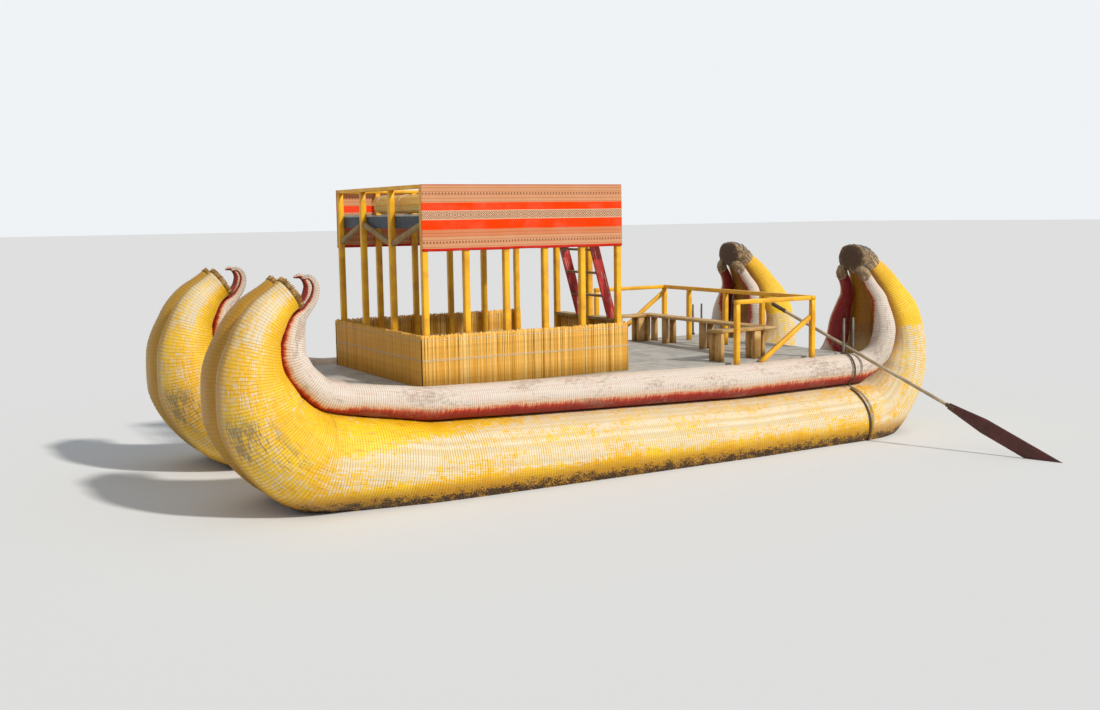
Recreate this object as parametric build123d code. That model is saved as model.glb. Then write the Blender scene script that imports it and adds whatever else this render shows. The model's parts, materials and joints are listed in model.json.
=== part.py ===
from build123d import *
from collections import namedtuple
from math import cos, radians, sin, sqrt
import os

# Double-hulled reed boat. Millimetres.
# X runs forward, Y to port and Z up. The origin is on the centreline, on top of the deck,
# in the plane of the cabin's aft posts, which is also amidships.

# The hulls: each is two round bundles pressed flat against each other along the hull's mid plane.
HULL_SPACING = 2940          # between the mid planes of the two hulls
# Heights of a bundle's centre line at places along the nearly level middle of the hull
MID_HEIGHTS = {-1700: -1085, 1700: -990, 3050: -935, 3790: -812, 3880: -797}
BOW_START = (4054, -769)     # where the bow starts to turn up
BOW_TURN = 1131              # radius of the turn from level to upright
BOW_CURL = 1036              # radius of the curl from upright to aft
STERN_START = (-3861, -1030)
STERN_TURN = 1091
STERN_CURL = 1723
FLAT_SHARE = 0.97            # a bundle that stands clear of its twin is still a little flat
GAP = 1                      # left between round pieces that are lashed together

# The gunwale rolls lie in the groove on top of the bundles and end in hooks at the bow.
ROLL_TURN = 540              # the rolls cut the corner at the stern with a turn of their own
ROLL_TURN_X = -3880
COLLAR_LENGTH = 130
COLLAR_RADII = (204, 212)    # at the bundle's end and at the rim
CAVITY_RADII = (140, 190)
CAVITY_DEPTH = 85

# The deck
DECK_FORE = 3750
DECK_AFT = -3800
DECK_THICKNESS = 30
BEAM_DEPTH = 70
BEAM_WIDTH = 90
BEAM_XS = (-3600, -2650, -1700, -700, 300, 1300, 2300, 3200, 3670)
EDGE_GAP = 6
DECK_KINKS = (-2800, -1700, -850, 0, 850, 1700, 2400, 3050, 3300, 3550)

# The cabin
CABIN_LENGTH = 2914
CABIN_WIDTH = 2912
POST = 75
SIDE_POST_XS = (605, 1172, 1742, 2309)
FORE_POST_YS = (-560, 430)
AFT_POST_YS = (-190, 700)
RAIL_TOP = 2500
RAIL_DEPTH = 50
PLATFORM_TOP = 2140
BOARD = 25
JOIST_DEPTH = 60
JOIST_WIDTH = 60
JOIST_XS = (620, 1160, 1700, 2240)
SIDE_BEAM_DEPTH = 80
FASCIA_THICKNESS = 35
FASCIA_DEPTH = 180
WALL_TOP = 660
WALL_THICKNESS = 60
WALL_GAP = 4
DOOR_SIDE_Y = -230           # the aft wall stops here, and the doorway is to starboard of it
SILL_TOP = 700
SILL_WIDTH = 170
BRACE_LOW = 1800
BRACE_HIGH = 2050
BRACE_DEPTH = 70
BRACE_THICKNESS = 55
CLOTH_THICKNESS = 8
CLOTH_BOTTOM = 1680
MAT_RADIUS = 130
MAT_X = 2640
MAT_ENDS = (-500, 1330)

# The ladder
LADDER_YS = (456, 1256)      # middles of the two boards
LADDER_BOARD = 35
LADDER_WIDTH = 140           # of a board, measured along X
LADDER_FOOT_X = -40
LADDER_SLOPE = 0.28
HATCH = (515, 380, 1335)     # forward edge x, and the two side edges y
TREAD_TOPS = (1015, 1330, 1645, 1930)
TREAD = (100, 28)

# The aft rail and the benches
RAIL_HEIGHT = 890
RAIL_POST = 70
RAIL_DEEP = 60               # depth of a top rail, which is as wide as a post
RAIL_AFT_X = -3080
RAIL_FORE_X = -1690
RAIL_POST_YS = (-1130, -170, 720)
RAIL_BRACE = (87, 74, 56)    # length of its foot along X, height of its head, thickness
SIDE_PANELS = (("port", 1, 620, -2080),          # side of the boat, height of the brace's
               ("starboard", -1, 800, -1900))    # aft end, and where its foot stands
BENCH_TOP = 450
BENCH_WIDTH = 240
BENCH_SIDE = 1590            # outer edge of the seats
BENCH_AFT_X = -2620
BENCH_JOINT = 10             # between the aft seat and the side seats
SIDE_BENCHES = (("port", 1, -1530), ("starboard", -1, -1750))    # side, and the fore end
SEAT = 40
LEG = (120, 60)
LEG_INSET = 15
AFT_LEG_YS = (-1420, -900, 90, 1300)
SIDE_LEG_X = -2220           # fore face of a side bench's aft legs

# The thole posts and the oar
THOLES = ((-3885, -2), (-3700, -4))   # x, and the height of the roll's crown there
THOLE_RADIUS = 19
THOLE_HEIGHT = 530
PIVOT = (-3800, 1772, 100)
OAR_PLAN = (-254, 875, -413) # the way the oar points, from the handle to the blade
SHAFT_RADIUS = 25
INBOARD = 1420
BLADE_START = 1800
BLADE_END = 3690
BLADE_THICKNESS = 30
BLADE_ROOT = 90
BLADE_WIDTH = 215
BLADE_FULL = 560             # the blade is at full width this far from its start
GROMMET_RADIUS = 44          # centre line of the rope ring
GROMMET_ROPE = 9
STEM_RADIUS = 12
LASHING_ROPE = 16
LASHING_X = -3700
LASHING_ARC = (-64, 78)      # degrees round the roll, from below on the outboard side to the top
LASHING_SLACK = 4            # between the rope and the roll

Station = namedtuple("Station", "x z heading")
Section = namedtuple("Section", "end turn radius offset")
Roll = namedtuple("Roll", "end turn radius offset lift")

# Bundle sections from stern to bow: which end, how far the curve has turned there in degrees
# (in the level middle, the place along X instead), the radius, and how far the bundle's centre
# is from the hull's mid plane.
BUNDLE = [Section(*row) for row in (
    ("stern", 135, 152, 150),
    ("stern", 130, 180, 172),
    ("stern", 120, 232, 210),
    ("stern", 105, 360, 250),
    ("stern", 90, 408, 270),
    ("stern", 70, 448, 275),
    ("stern", 50, 462, 280),
    ("stern", 25, 512, 290),
    ("stern", 0, 570, 300),
    ("mid", -1700, 600, 300),
    ("mid", 1700, 600, 300),
    ("mid", 3050, 592, 300),
    ("mid", 3790, 583, 305),
    ("mid", 3880, 582, 306),
    ("bow", 0, 580, 310),
    ("bow", 22, 589, 330),
    ("bow", 45, 547, 345),
    ("bow", 68, 492, 345),
    ("bow", 90, 385, 330),
    ("bow", 112, 293, 290),
    ("bow", 128, 254, 250),
    ("bow", 146, 203, 200))]

# Roll sections. "arc" rows are on the roll's own turn, the others lie on the bundle's section
# of the same name, lifted off it where something is wrapped round the bundle.
OUTER_ROLL = [Roll(*row) for row in (
    ("stern", 130, 95, 262, 10),
    ("stern", 120, 122, 352, 0),
    ("arc", 90, 170, 480, 0),
    ("arc", 60, 182, 470, 0),
    ("arc", 30, 198, 400, 0),
    ("arc", 0, 226, 370, 5),
    ("mid", -1700, 238, 345, 0),
    ("mid", 1700, 219, 340, 0),
    ("mid", 3050, 210, 335, 0),
    ("mid", 3790, 196, 310, 0),
    ("mid", 3880, 194, 300, 0),
    ("bow", 0, 190, 275, 0),
    ("bow", 22, 188, 290, 0),
    ("bow", 45, 186, 305, 0),
    ("bow", 68, 184, 305, 0),
    ("bow", 90, 180, 290, 0),
    ("bow", 112, 168, 250, 0),
    ("bow", 128, 148, 208, 0),
    ("bow", 146, 106, 150, 0))]
# The inner rolls are the same but squeezed to this radius where the deck's beams cross them.
UNDER_DECK = {("arc", 0): 170, ("mid", -1700): 190, ("mid", 1700): 143, ("mid", 3050): 118,
              ("mid", 3790): 58, ("mid", 3880): 168}

# The hook at a roll's end: x, z, heading and radius.
HOOK = (
    (4476, 1047, 124, 67),
    (4404, 1134, 129, 59),
    (4357, 1222, 113, 54),
    (4341, 1314, 87, 49),
    (4369, 1396, 53, 43),
    (4433, 1441, 10, 35),
    (4500, 1424, -30, 25))

# The cap round the stern tips: turn in degrees, half width, half thickness.
CAP = ((135, 315, 168), (140, 290, 166), (145, 240, 145))
CAP_TIP = (30, 180, 100)     # how far past the last section, half width, half thickness
# The wrap on a roll's end: turn, radius, distance from the mid plane, and distance inward.
ROLL_WRAP = ((130, 98, 262, 269), (137, 88, 240, 242), (142, 54, 195, 208))


def station(end, turn):
    """The place and heading of a hull section."""
    a = radians(turn)
    if end == "mid":
        return Station(turn, MID_HEIGHTS[turn], 0)
    if end == "bow":
        x, z = BOW_START
        if turn <= 90:
            return Station(x + BOW_TURN * sin(a), z + BOW_TURN * (1 - cos(a)), turn)
        x, z = x + BOW_TURN, z + BOW_TURN
        return Station(x - BOW_CURL * (1 - sin(a)), z - BOW_CURL * cos(a), turn)
    x, z = STERN_START
    if turn <= 90:
        return Station(x - STERN_TURN * sin(a), z + STERN_TURN * (1 - cos(a)), -turn)
    x, z = x - STERN_TURN, z + STERN_TURN
    return Station(x + STERN_CURL * (1 - sin(a)), z - STERN_CURL * cos(a), -turn)


def place(at, across, inward, hull_y, along=0):
    """A point in a section's plane: across to port, inward to the hollow side of the curve."""
    a = radians(at.heading)
    return Vector(at.x - inward * sin(a) + along * cos(a), hull_y + across,
                  at.z + inward * cos(a) + along * sin(a))


def section_plane(at, across, inward, hull_y, along=0):
    a = radians(at.heading)
    return Plane(place(at, across, inward, hull_y, along), x_dir=(0, 1, 0),
                 z_dir=(cos(a), 0, sin(a)))


def bundle(hull_y, side):
    """One reed bundle: round, with a flat where it meets its twin."""
    wires = []
    for row in BUNDLE:
        at = station(row.end, row.turn)
        flat = max(0, row.offset - FLAT_SHARE * row.radius)
        rise = sqrt(row.radius ** 2 - (row.offset - flat) ** 2)
        low = place(at, side * flat, -rise, hull_y)
        high = place(at, side * flat, rise, hull_y)
        far = place(at, side * (row.offset + row.radius), 0, hull_y)
        wires.append(Wire([Edge.make_three_point_arc(low, far, high), Edge.make_line(high, low)]))
    return Solid.make_loft(wires, ruled=True)


def bundle_row(end, turn):
    return next(row for row in BUNDLE if (row.end, row.turn) == (end, turn))


def roll_row(end, turn):
    return next(row for row in OUTER_ROLL if (row.end, row.turn) == (end, turn))


def roll_place(row, radius):
    """The station of a roll's section and how far inward of it the roll's centre lies."""
    if row.end == "arc":
        seat, level = bundle_row("stern", 0), roll_row("arc", 0)
        reach = seat.radius + level.radius + GAP + level.lift
        z = STERN_START[1] + sqrt(reach ** 2 - (level.offset - seat.offset) ** 2)
        a = radians(row.turn)
        at = Station(ROLL_TURN_X - ROLL_TURN * sin(a), z + ROLL_TURN * (1 - cos(a)), -row.turn)
        return at, 0
    seat = bundle_row(row.end, row.turn)
    reach = seat.radius + radius + GAP + row.lift
    return station(row.end, row.turn), sqrt(reach ** 2 - (row.offset - seat.offset) ** 2)


def roll(hull_y, side, inner):
    """One gunwale roll with its hook."""
    wires = []
    for row in OUTER_ROLL:
        radius = UNDER_DECK.get((row.end, row.turn), row.radius) if inner else row.radius
        at, inward = roll_place(row, radius)
        if inner and row.end == "arc" and row.turn == 0:
            inward = radius - row.radius
        plane = section_plane(at, side * row.offset, inward, hull_y)
        wires.append(Wire.make_circle(radius, plane))
    for x, z, heading, radius in HOOK:
        plane = section_plane(Station(x, z, heading), side * OUTER_ROLL[-1].offset, 0, hull_y)
        wires.append(Wire.make_circle(radius, plane))
    return Solid.make_loft(wires, ruled=True)


def outer_roll_at(x):
    """Centre distance from the centreline, centre height and radius of the outer rolls at x."""
    known = []
    level = [roll_row("arc", 0)] + [row for row in OUTER_ROLL if row.end == "mid"]
    for row in level + [roll_row("bow", 0)]:
        at, inward = roll_place(row, row.radius)
        known.append((at.x, HULL_SPACING / 2 + row.offset, at.z + inward, row.radius))
    low, high = next(pair for pair in zip(known, known[1:]) if x <= pair[1][0])
    share = (x - low[0]) / (high[0] - low[0])
    return tuple(a + (b - a) * share for a, b in zip(low[1:], high[1:]))


def roll_inner_face(x, z):
    """How far out something at height z can reach before it meets the outer roll."""
    y, centre, radius = outer_roll_at(x)
    return y - sqrt(max(0, radius ** 2 - (z - centre) ** 2)) - EDGE_GAP


def roll_top(x):
    y, centre, radius = outer_roll_at(x)
    return centre + radius + GAP


def block(x, y, z):
    """A box between pairs of limits."""
    size = [high - low for low, high in (x, y, z)]
    centre = [(high + low) / 2 for low, high in (x, y, z)]
    return Pos(*centre) * Box(*size)


def upright(points, x, thickness):
    """A board in a plane across the boat: its y, z outline, centred on x."""
    face = Plane.YZ.offset(x - thickness / 2) * make_face(Polyline(*points, close=True))
    return extrude(face, thickness)


def sideways(points, y, thickness):
    """A board in a plane along the boat: its x, z outline, centred on y."""
    face = make_face(Polyline(*[(px, 0, pz) for px, pz in points], close=True))
    return Pos(0, y - thickness / 2, 0) * extrude(face, thickness, dir=(0, 1, 0))


def post(x, y, z, radius):
    """A round upright between two heights."""
    return Pos(x, y, sum(z) / 2) * Cylinder(radius, z[1] - z[0])


def save(name, pieces):
    """Write one sub-part, as one solid or as several that stand apart."""
    solids = [solid for piece in pieces for solid in piece.solids()]
    shape = solids[0] if len(solids) == 1 else Compound(solids)
    shape.label = name
    export_step(shape, f"parts/{name}.step")


def both(make):
    """The same piece on both sides of the boat."""
    return [make(side) for side in (1, -1)]


def hulls():
    for hull, hull_side in (("port", 1), ("starboard", -1)):
        hull_y = hull_side * HULL_SPACING / 2
        for name, side in (("outer", hull_side), ("inner", -hull_side)):
            save(f"bundle_{hull}_{name}", [bundle(hull_y, side)])
            save(f"roll_{hull}_{name}", [roll(hull_y, side, name == "inner")])


def collar(hull_y, side):
    """The flared, hollow end of a bundle, where the reeds are cut off, flat against its twin."""
    last = BUNDLE[-1]
    outline = ((0, 0), (COLLAR_RADII[0], 0), (COLLAR_RADII[1], COLLAR_LENGTH),
               (CAVITY_RADII[1], COLLAR_LENGTH), (CAVITY_RADII[0], COLLAR_LENGTH - CAVITY_DEPTH),
               (0, COLLAR_LENGTH - CAVITY_DEPTH))
    cup = revolve(make_face(Polyline(*[(r, 0, h) for r, h in outline], close=True)), Axis.Z)
    wide = 2 * COLLAR_RADII[1]
    twin = Pos(-side * (last.offset + (wide - GAP) / 2), 0, COLLAR_LENGTH / 2) * Box(
        wide, wide, COLLAR_LENGTH)
    return section_plane(station(last.end, last.turn), side * last.offset, 0, hull_y) * (cup - twin)


def slot_wire(plane, half_width, half_thickness):
    """A flat-sided oval of two lines and two arcs."""
    w, t = half_width - half_thickness, half_thickness
    spot = lambda u, v: plane.from_local_coords((u, v, 0))
    return Wire([Edge.make_line(spot(-w, -t), spot(w, -t)),
                 Edge.make_three_point_arc(spot(w, -t), spot(w + t, 0), spot(w, t)),
                 Edge.make_line(spot(w, t), spot(-w, t)),
                 Edge.make_three_point_arc(spot(-w, t), spot(-w - t, 0), spot(-w, -t))])


def stern_cap(hull_y):
    """Matting wrapped round the two tips of one hull."""
    wires = []
    for turn, half_width, half_thickness in CAP:
        plane = section_plane(station("stern", turn), 0, 0, hull_y)
        wires.append(slot_wire(plane, half_width, half_thickness))
    past, half_width, half_thickness = CAP_TIP
    plane = section_plane(station("stern", CAP[-1][0]), 0, 0, hull_y, -past)
    wires.append(slot_wire(plane, half_width, half_thickness))
    return Solid.make_loft(wires, ruled=True)


def roll_wrap(hull_y, side):
    """Matting wrapped round the stern end of a roll."""
    wires = []
    for turn, radius, offset, inward in ROLL_WRAP:
        plane = section_plane(station("stern", turn), side * offset, inward, hull_y)
        wires.append(Wire.make_circle(radius, plane))
    return Solid.make_loft(wires, ruled=True)


def ends():
    hull_ys = (HULL_SPACING / 2, -HULL_SPACING / 2)
    save("bow_collars", [collar(y, side) for y in hull_ys for side in (1, -1)])
    save("stern_caps", [stern_cap(y) for y in hull_ys])
    save("roll_end_wraps", [roll_wrap(y, side) for y in hull_ys for side in (1, -1)])


def deck():
    xs = (DECK_AFT,) + DECK_KINKS + (DECK_FORE,)
    port = [(x, roll_inner_face(x, -DECK_THICKNESS)) for x in xs]
    outline = port + [(x, -y) for x, y in reversed(port)]
    slab = extrude(make_face(Polyline(*outline, close=True)), DECK_THICKNESS, dir=(0, 0, -1))
    save("deck", [slab])
    bottom = -DECK_THICKNESS - BEAM_DEPTH
    beams = []
    for x in BEAM_XS:
        reach = min(roll_inner_face(x + side * BEAM_WIDTH / 2, z)
                    for side in (1, -1) for z in (bottom, -DECK_THICKNESS))
        beams.append(block((x - BEAM_WIDTH / 2, x + BEAM_WIDTH / 2), (-reach, reach),
                           (bottom, -DECK_THICKNESS)))
    save("crossbeams", beams)


def cabin_frame():
    half, h = CABIN_WIDTH / 2, POST / 2
    corners = [(x, y) for x in (h, CABIN_LENGTH - h) for y in (half - h, h - half)]
    sides = [(x, y) for x in SIDE_POST_XS for y in (half - h, h - half)]
    across = [(CABIN_LENGTH - h, y) for y in FORE_POST_YS] + [(h, y) for y in AFT_POST_YS]
    top = RAIL_TOP - RAIL_DEPTH
    save("cabin_posts", [block((x - h, x + h), (y - h, y + h), (0, top))
                         for x, y in corners + sides + across])
    outer = block((0, CABIN_LENGTH), (-half, half), (top, RAIL_TOP))
    inner = block((POST, CABIN_LENGTH - POST), (POST - half, half - POST), (top, RAIL_TOP))
    save("top_rail", [outer - inner])


def platform():
    half = CABIN_WIDTH / 2 - POST
    fore, aft = CABIN_LENGTH - POST, POST
    board_low = PLATFORM_TOP - BOARD
    joist_low = board_low - JOIST_DEPTH
    fx, y_low, y_high = HATCH
    outline = ((aft, -half), (fore, -half), (fore, half), (aft, half), (aft, y_high),
               (fx, y_high), (fx, y_low), (aft, y_low))
    boards = extrude(make_face(Polyline(*outline, close=True)), BOARD)
    save("platform_boards", [Pos(0, 0, board_low) * boards])
    clear = FASCIA_THICKNESS
    w = JOIST_WIDTH / 2
    save("platform_joists", [block((x - w, x + w), (-half, half), (joist_low, board_low))
                             for x in JOIST_XS])
    save("side_beams", both(lambda side: block(
        (aft + clear, fore - clear), sorted((side * half, side * (half - JOIST_WIDTH))),
        (joist_low - SIDE_BEAM_DEPTH, joist_low))))
    save("platform_fascias", [
        block((x, x + clear), (-half, half), (PLATFORM_TOP - FASCIA_DEPTH, board_low))
        for x in (aft, fore - clear)])


def braces():
    """Zigzag knee braces between the fore posts, each from face to face."""
    half = CABIN_WIDTH / 2 - POST / 2
    ys = (-half,) + FORE_POST_YS + (half,)
    highs = (False, True, False, True)
    x = CABIN_LENGTH - POST / 2
    pieces = []
    for (y0, high0), (y1, high1) in zip(zip(ys, highs), zip(ys[1:], highs[1:])):
        y0, y1 = y0 + POST / 2, y1 - POST / 2
        z0 = BRACE_HIGH if high0 else BRACE_LOW
        z1 = BRACE_HIGH if high1 else BRACE_LOW
        outline = ((y0, z0 - BRACE_DEPTH), (y1, z1 - BRACE_DEPTH), (y1, z1), (y0, z0))
        pieces.append(upright(outline, x, BRACE_THICKNESS))
    save("knee_braces", pieces)


def walls():
    half = CABIN_WIDTH / 2 + WALL_GAP
    out = half + WALL_THICKNESS
    fore, aft = CABIN_LENGTH + WALL_GAP, -WALL_GAP
    height = (0, WALL_TOP)
    ends_x = (aft - WALL_THICKNESS, fore + WALL_THICKNESS)
    save("wall_port", [block(ends_x, (half, out), height)])
    save("wall_starboard", [block(ends_x, (-out, -half), height)])
    save("wall_fore", [block((fore, ends_x[1]), (-half, half), height)])
    save("wall_aft", [block((ends_x[0], aft), (DOOR_SIDE_Y, half), height)])
    h = POST / 2
    first, second = AFT_POST_YS
    spans = ((first + h, second - h), (second + h, CABIN_WIDTH / 2 - POST))
    x = (ends_x[0], ends_x[0] + SILL_WIDTH)
    save("aft_sill", [block(x, span, (WALL_TOP, SILL_TOP)) for span in spans])


def soft_goods():
    half = CABIN_WIDTH / 2
    for name, side in (("port", 1), ("starboard", -1)):
        y = sorted((side * (half + GAP), side * (half + GAP + CLOTH_THICKNESS)))
        save(f"cloth_{name}", [block((-CLOTH_THICKNESS, CABIN_LENGTH + CLOTH_THICKNESS), y,
                                     (CLOTH_BOTTOM, RAIL_TOP))])
    roller = Cylinder(MAT_RADIUS, MAT_ENDS[1] - MAT_ENDS[0], rotation=(90, 0, 0))
    save("rolled_mat", [Pos(MAT_X, sum(MAT_ENDS) / 2, PLATFORM_TOP + MAT_RADIUS) * roller])


def ladder():
    def front(z):
        return LADDER_FOOT_X + LADDER_SLOPE * (z - SILL_TOP) + LADDER_WIDTH
    def board(y):
        outline = [(front(z) - back, z) for z, back in
                   ((SILL_TOP, LADDER_WIDTH), (SILL_TOP, 0), (PLATFORM_TOP, 0),
                    (PLATFORM_TOP, LADDER_WIDTH))]
        return sideways(outline, y, LADDER_BOARD)
    save("ladder_boards", [board(y) for y in LADDER_YS])
    inner = (LADDER_YS[0] + LADDER_BOARD / 2, LADDER_YS[1] - LADDER_BOARD / 2)
    depth, thick = TREAD
    save("ladder_treads", [block((front(z) - depth, front(z)), inner, (z - thick, z))
                           for z in TREAD_TOPS])


def aft_rail():
    h = RAIL_POST / 2
    under = RAIL_HEIGHT - RAIL_DEEP
    out = outer_roll_at(RAIL_AFT_X)[0]
    fore_out = outer_roll_at(RAIL_FORE_X)[0]
    rail = block((RAIL_AFT_X - h, RAIL_AFT_X + h), (-out - h, out + h), (under, RAIL_HEIGHT))
    posts = [block((RAIL_AFT_X - h, RAIL_AFT_X + h), (y - h, y + h), (0, under))
             for y in RAIL_POST_YS]
    posts += both(lambda side: block((RAIL_AFT_X - h, RAIL_AFT_X + h),
                                     (side * out - h, side * out + h),
                                     (roll_top(RAIL_AFT_X), under)))
    save("aft_rail", [rail + posts])
    y = (out + fore_out) / 2
    foot_length, head, thick = RAIL_BRACE
    for name, side, top, foot_x in SIDE_PANELS:
        x0, x1 = RAIL_AFT_X + h, RAIL_FORE_X
        timber = block((x0, x1 + h), (side * y - h, side * y + h), (under, RAIL_HEIGHT))
        foot = max(roll_top(x1 - h), roll_top(x1 + h))
        post = block((x1 - h, x1 + h), (side * y - h, side * y + h), (foot, under))
        low = max(roll_top(foot_x), roll_top(foot_x - foot_length))
        brace = sideways(((foot_x, low), (foot_x - foot_length, low), (x0, top - head),
                          (x0, top)), side * y, thick)
        save(f"side_rail_{name}", [timber + post, brace])


def bench(x, y, legs):
    """A plank seat on board legs: limits in x and y, and the legs' limits."""
    seat = block(x, y, (BENCH_TOP - SEAT, BENCH_TOP))
    return [seat + [block(lx, ly, (0, BENCH_TOP - SEAT)) for lx, ly in legs]]


def benches():
    long, short = LEG
    x = (BENCH_AFT_X, BENCH_AFT_X + BENCH_WIDTH)
    legs = [((lx, lx + short), (y - long / 2, y + long / 2)) for y in AFT_LEG_YS
            for lx in (x[0] + LEG_INSET, x[1] - short - LEG_INSET)]
    save("bench_aft", bench(x, (-BENCH_SIDE, BENCH_SIDE), legs))
    for name, side, fore in SIDE_BENCHES:
        y = sorted((side * BENCH_SIDE, side * (BENCH_SIDE - BENCH_WIDTH)))
        legs = [((lx - long, lx), (ly, ly + short)) for lx in (fore - LEG_INSET, SIDE_LEG_X)
                for ly in (y[0] + LEG_INSET, y[1] - short - LEG_INSET)]
        save(f"bench_{name}", bench((x[1] + BENCH_JOINT, fore), y, legs))


def tholes():
    for name, side in (("port", 1), ("starboard", -1)):
        y = side * outer_roll_at(ROLL_TURN_X)[0]
        save(f"tholes_{name}", [post(x, y, (foot, foot + THOLE_HEIGHT), THOLE_RADIUS)
                                for x, foot in THOLES])


def oar():
    way = Vector(*OAR_PLAN).normalized()
    level = Vector(way.Y, -way.X, 0).normalized()
    along = Plane(PIVOT, x_dir=level, z_dir=way)
    shaft = Pos(0, 0, (BLADE_START - INBOARD) / 2) * Cylinder(SHAFT_RADIUS, BLADE_START + INBOARD)
    save("oar_shaft", [along * shaft])
    root, full = BLADE_ROOT / 2, BLADE_WIDTH / 2
    outline = ((-root, BLADE_START), (root, BLADE_START), (full, BLADE_START + BLADE_FULL),
               (full, BLADE_END), (-full, BLADE_END), (-full, BLADE_START + BLADE_FULL))
    face = make_face(Polyline(*[(0, v, h) for v, h in outline], close=True))
    blade = Pos(-BLADE_THICKNESS / 2, 0, 0) * extrude(face, BLADE_THICKNESS, dir=(1, 0, 0))
    save("oar_blade", [along * blade])
    ring = along * Torus(GROMMET_RADIUS, GROMMET_ROPE)
    foot = roll_top(PIVOT[0]) + GAP
    stem = post(PIVOT[0], PIVOT[1], (foot, PIVOT[2] - GROMMET_RADIUS), STEM_RADIUS)
    save("oar_grommet", [ring + stem])


def lashings():
    """A turn of rope over each outer roll beside the tholes."""
    y, centre, radius = outer_roll_at(LASHING_X)
    reach = radius + LASHING_ROPE + LASHING_SLACK
    start, stop = LASHING_ARC
    def turn(side):
        plane = Plane((LASHING_X, side * y, centre), x_dir=(0, side, 0), z_dir=(side, 0, 0))
        section = Plane((reach, 0, 0), z_dir=(0, 1, 0)) * Circle(LASHING_ROPE)
        arc = revolve(section, Axis.Z, stop - start)
        return plane * Rot(0, 0, start) * arc
    save("roll_lashings", both(turn))


os.makedirs("parts", exist_ok=True)
hulls()
ends()
deck()
cabin_frame()
platform()
braces()
walls()
soft_goods()
ladder()
aft_rail()
benches()
tholes()
oar()
lashings()
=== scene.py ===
# %% [markdown]
# # A double-hulled reed boat
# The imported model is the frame: every piece here sits on it, in metres. X runs forward, Y to
# port and Z up, and the origin is on top of the deck, amidships. The still water is at z -1.25.

# %% The frame
import bpy
import json
import numpy as np
from math import cos, pi, radians, sin, sqrt, tau
from mathutils import Matrix, Vector, noise

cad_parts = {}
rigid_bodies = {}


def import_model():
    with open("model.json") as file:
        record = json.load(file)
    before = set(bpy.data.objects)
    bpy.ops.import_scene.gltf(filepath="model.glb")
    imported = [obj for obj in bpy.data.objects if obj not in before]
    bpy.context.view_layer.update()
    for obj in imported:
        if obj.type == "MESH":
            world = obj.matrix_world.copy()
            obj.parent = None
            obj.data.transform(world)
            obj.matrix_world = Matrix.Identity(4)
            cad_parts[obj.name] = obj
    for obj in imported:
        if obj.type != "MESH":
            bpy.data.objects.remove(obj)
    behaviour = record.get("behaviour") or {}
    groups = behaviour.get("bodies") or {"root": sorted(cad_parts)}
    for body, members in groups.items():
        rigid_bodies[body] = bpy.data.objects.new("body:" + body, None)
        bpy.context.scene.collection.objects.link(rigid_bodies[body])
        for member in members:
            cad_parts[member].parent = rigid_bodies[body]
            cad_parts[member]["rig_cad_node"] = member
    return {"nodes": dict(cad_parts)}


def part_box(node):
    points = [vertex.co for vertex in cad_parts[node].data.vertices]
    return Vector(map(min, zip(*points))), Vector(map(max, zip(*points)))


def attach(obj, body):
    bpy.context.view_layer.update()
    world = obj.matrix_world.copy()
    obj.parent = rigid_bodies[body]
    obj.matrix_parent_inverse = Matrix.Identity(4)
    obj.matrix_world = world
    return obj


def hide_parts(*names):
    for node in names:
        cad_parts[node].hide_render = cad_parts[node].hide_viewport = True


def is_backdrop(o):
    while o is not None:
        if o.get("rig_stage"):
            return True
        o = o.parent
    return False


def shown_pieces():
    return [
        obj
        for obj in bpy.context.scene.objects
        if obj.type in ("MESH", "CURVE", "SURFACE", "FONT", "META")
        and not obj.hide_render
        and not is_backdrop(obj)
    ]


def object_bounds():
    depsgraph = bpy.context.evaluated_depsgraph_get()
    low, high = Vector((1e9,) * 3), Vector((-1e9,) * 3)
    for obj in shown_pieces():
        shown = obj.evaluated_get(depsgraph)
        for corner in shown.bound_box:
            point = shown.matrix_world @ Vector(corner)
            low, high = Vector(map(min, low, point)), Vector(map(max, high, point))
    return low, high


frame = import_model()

cad_box = [list(corner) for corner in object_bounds()]
MM = 0.001
WATER = -1.25
print("CAD box", [[round(v, 3) for v in corner] for corner in cad_box])

# %% [markdown]
# ## Camera, floor and light
# The photograph was taken from a little above the rail, off the port bow, with a normal lens.
# The camera stands there, and its frame is 1100 by 710. Rotations are easiest to get right as
# three directions: where it looks, its right and its up, which are then tilted a little. Its
# focal length is known in the photograph's pixels, and Blender wants it for a film 36 mm wide.

# %% Camera
YAW, PITCH, TILT = radians(30.26), radians(6.69), radians(-0.82)
STAND = (8.927, 14.818, 2.1)
PHOTO_WIDTH, FOCAL_LENGTH = 1100, 1189.5
ahead = Vector((-sin(YAW) * cos(PITCH), -cos(YAW) * cos(PITCH), -sin(PITCH)))
right = ahead.cross(Vector((0, 0, 1))).normalized()
up = right.cross(ahead)
right, up = cos(TILT) * right + sin(TILT) * up, cos(TILT) * up - sin(TILT) * right
camera = bpy.data.objects.new("camera", bpy.data.cameras.new("camera"))
bpy.context.collection.objects.link(camera)
camera.matrix_world = Matrix.Translation(STAND) @ Matrix(
    (right, up, -ahead)).transposed().to_4x4()
camera.data.lens = 36 * FOCAL_LENGTH / PHOTO_WIDTH
bpy.context.scene.camera = camera
print("lens", round(camera.data.lens, 1), "mm")

# %% [markdown]
# ## Colours and nodes
# Colours are picked as sRGB hex values, as in a paint program, and the shader wants them
# linear. A material is a small tree of nodes, so one helper adds a node with its settings and
# its inputs: a node or a socket is linked, a hex colour is made linear, and any other value is
# set as it is.

# %% Helpers for materials
def linear(code):
    """An sRGB hex colour as linear red, green, blue and alpha."""
    parts = [int(code[i:i + 2], 16) / 255 for i in (1, 3, 5)]
    return (*[p / 12.92 if p <= 0.04045 else ((p + 0.055) / 1.055) ** 2.4 for p in parts], 1)


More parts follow.
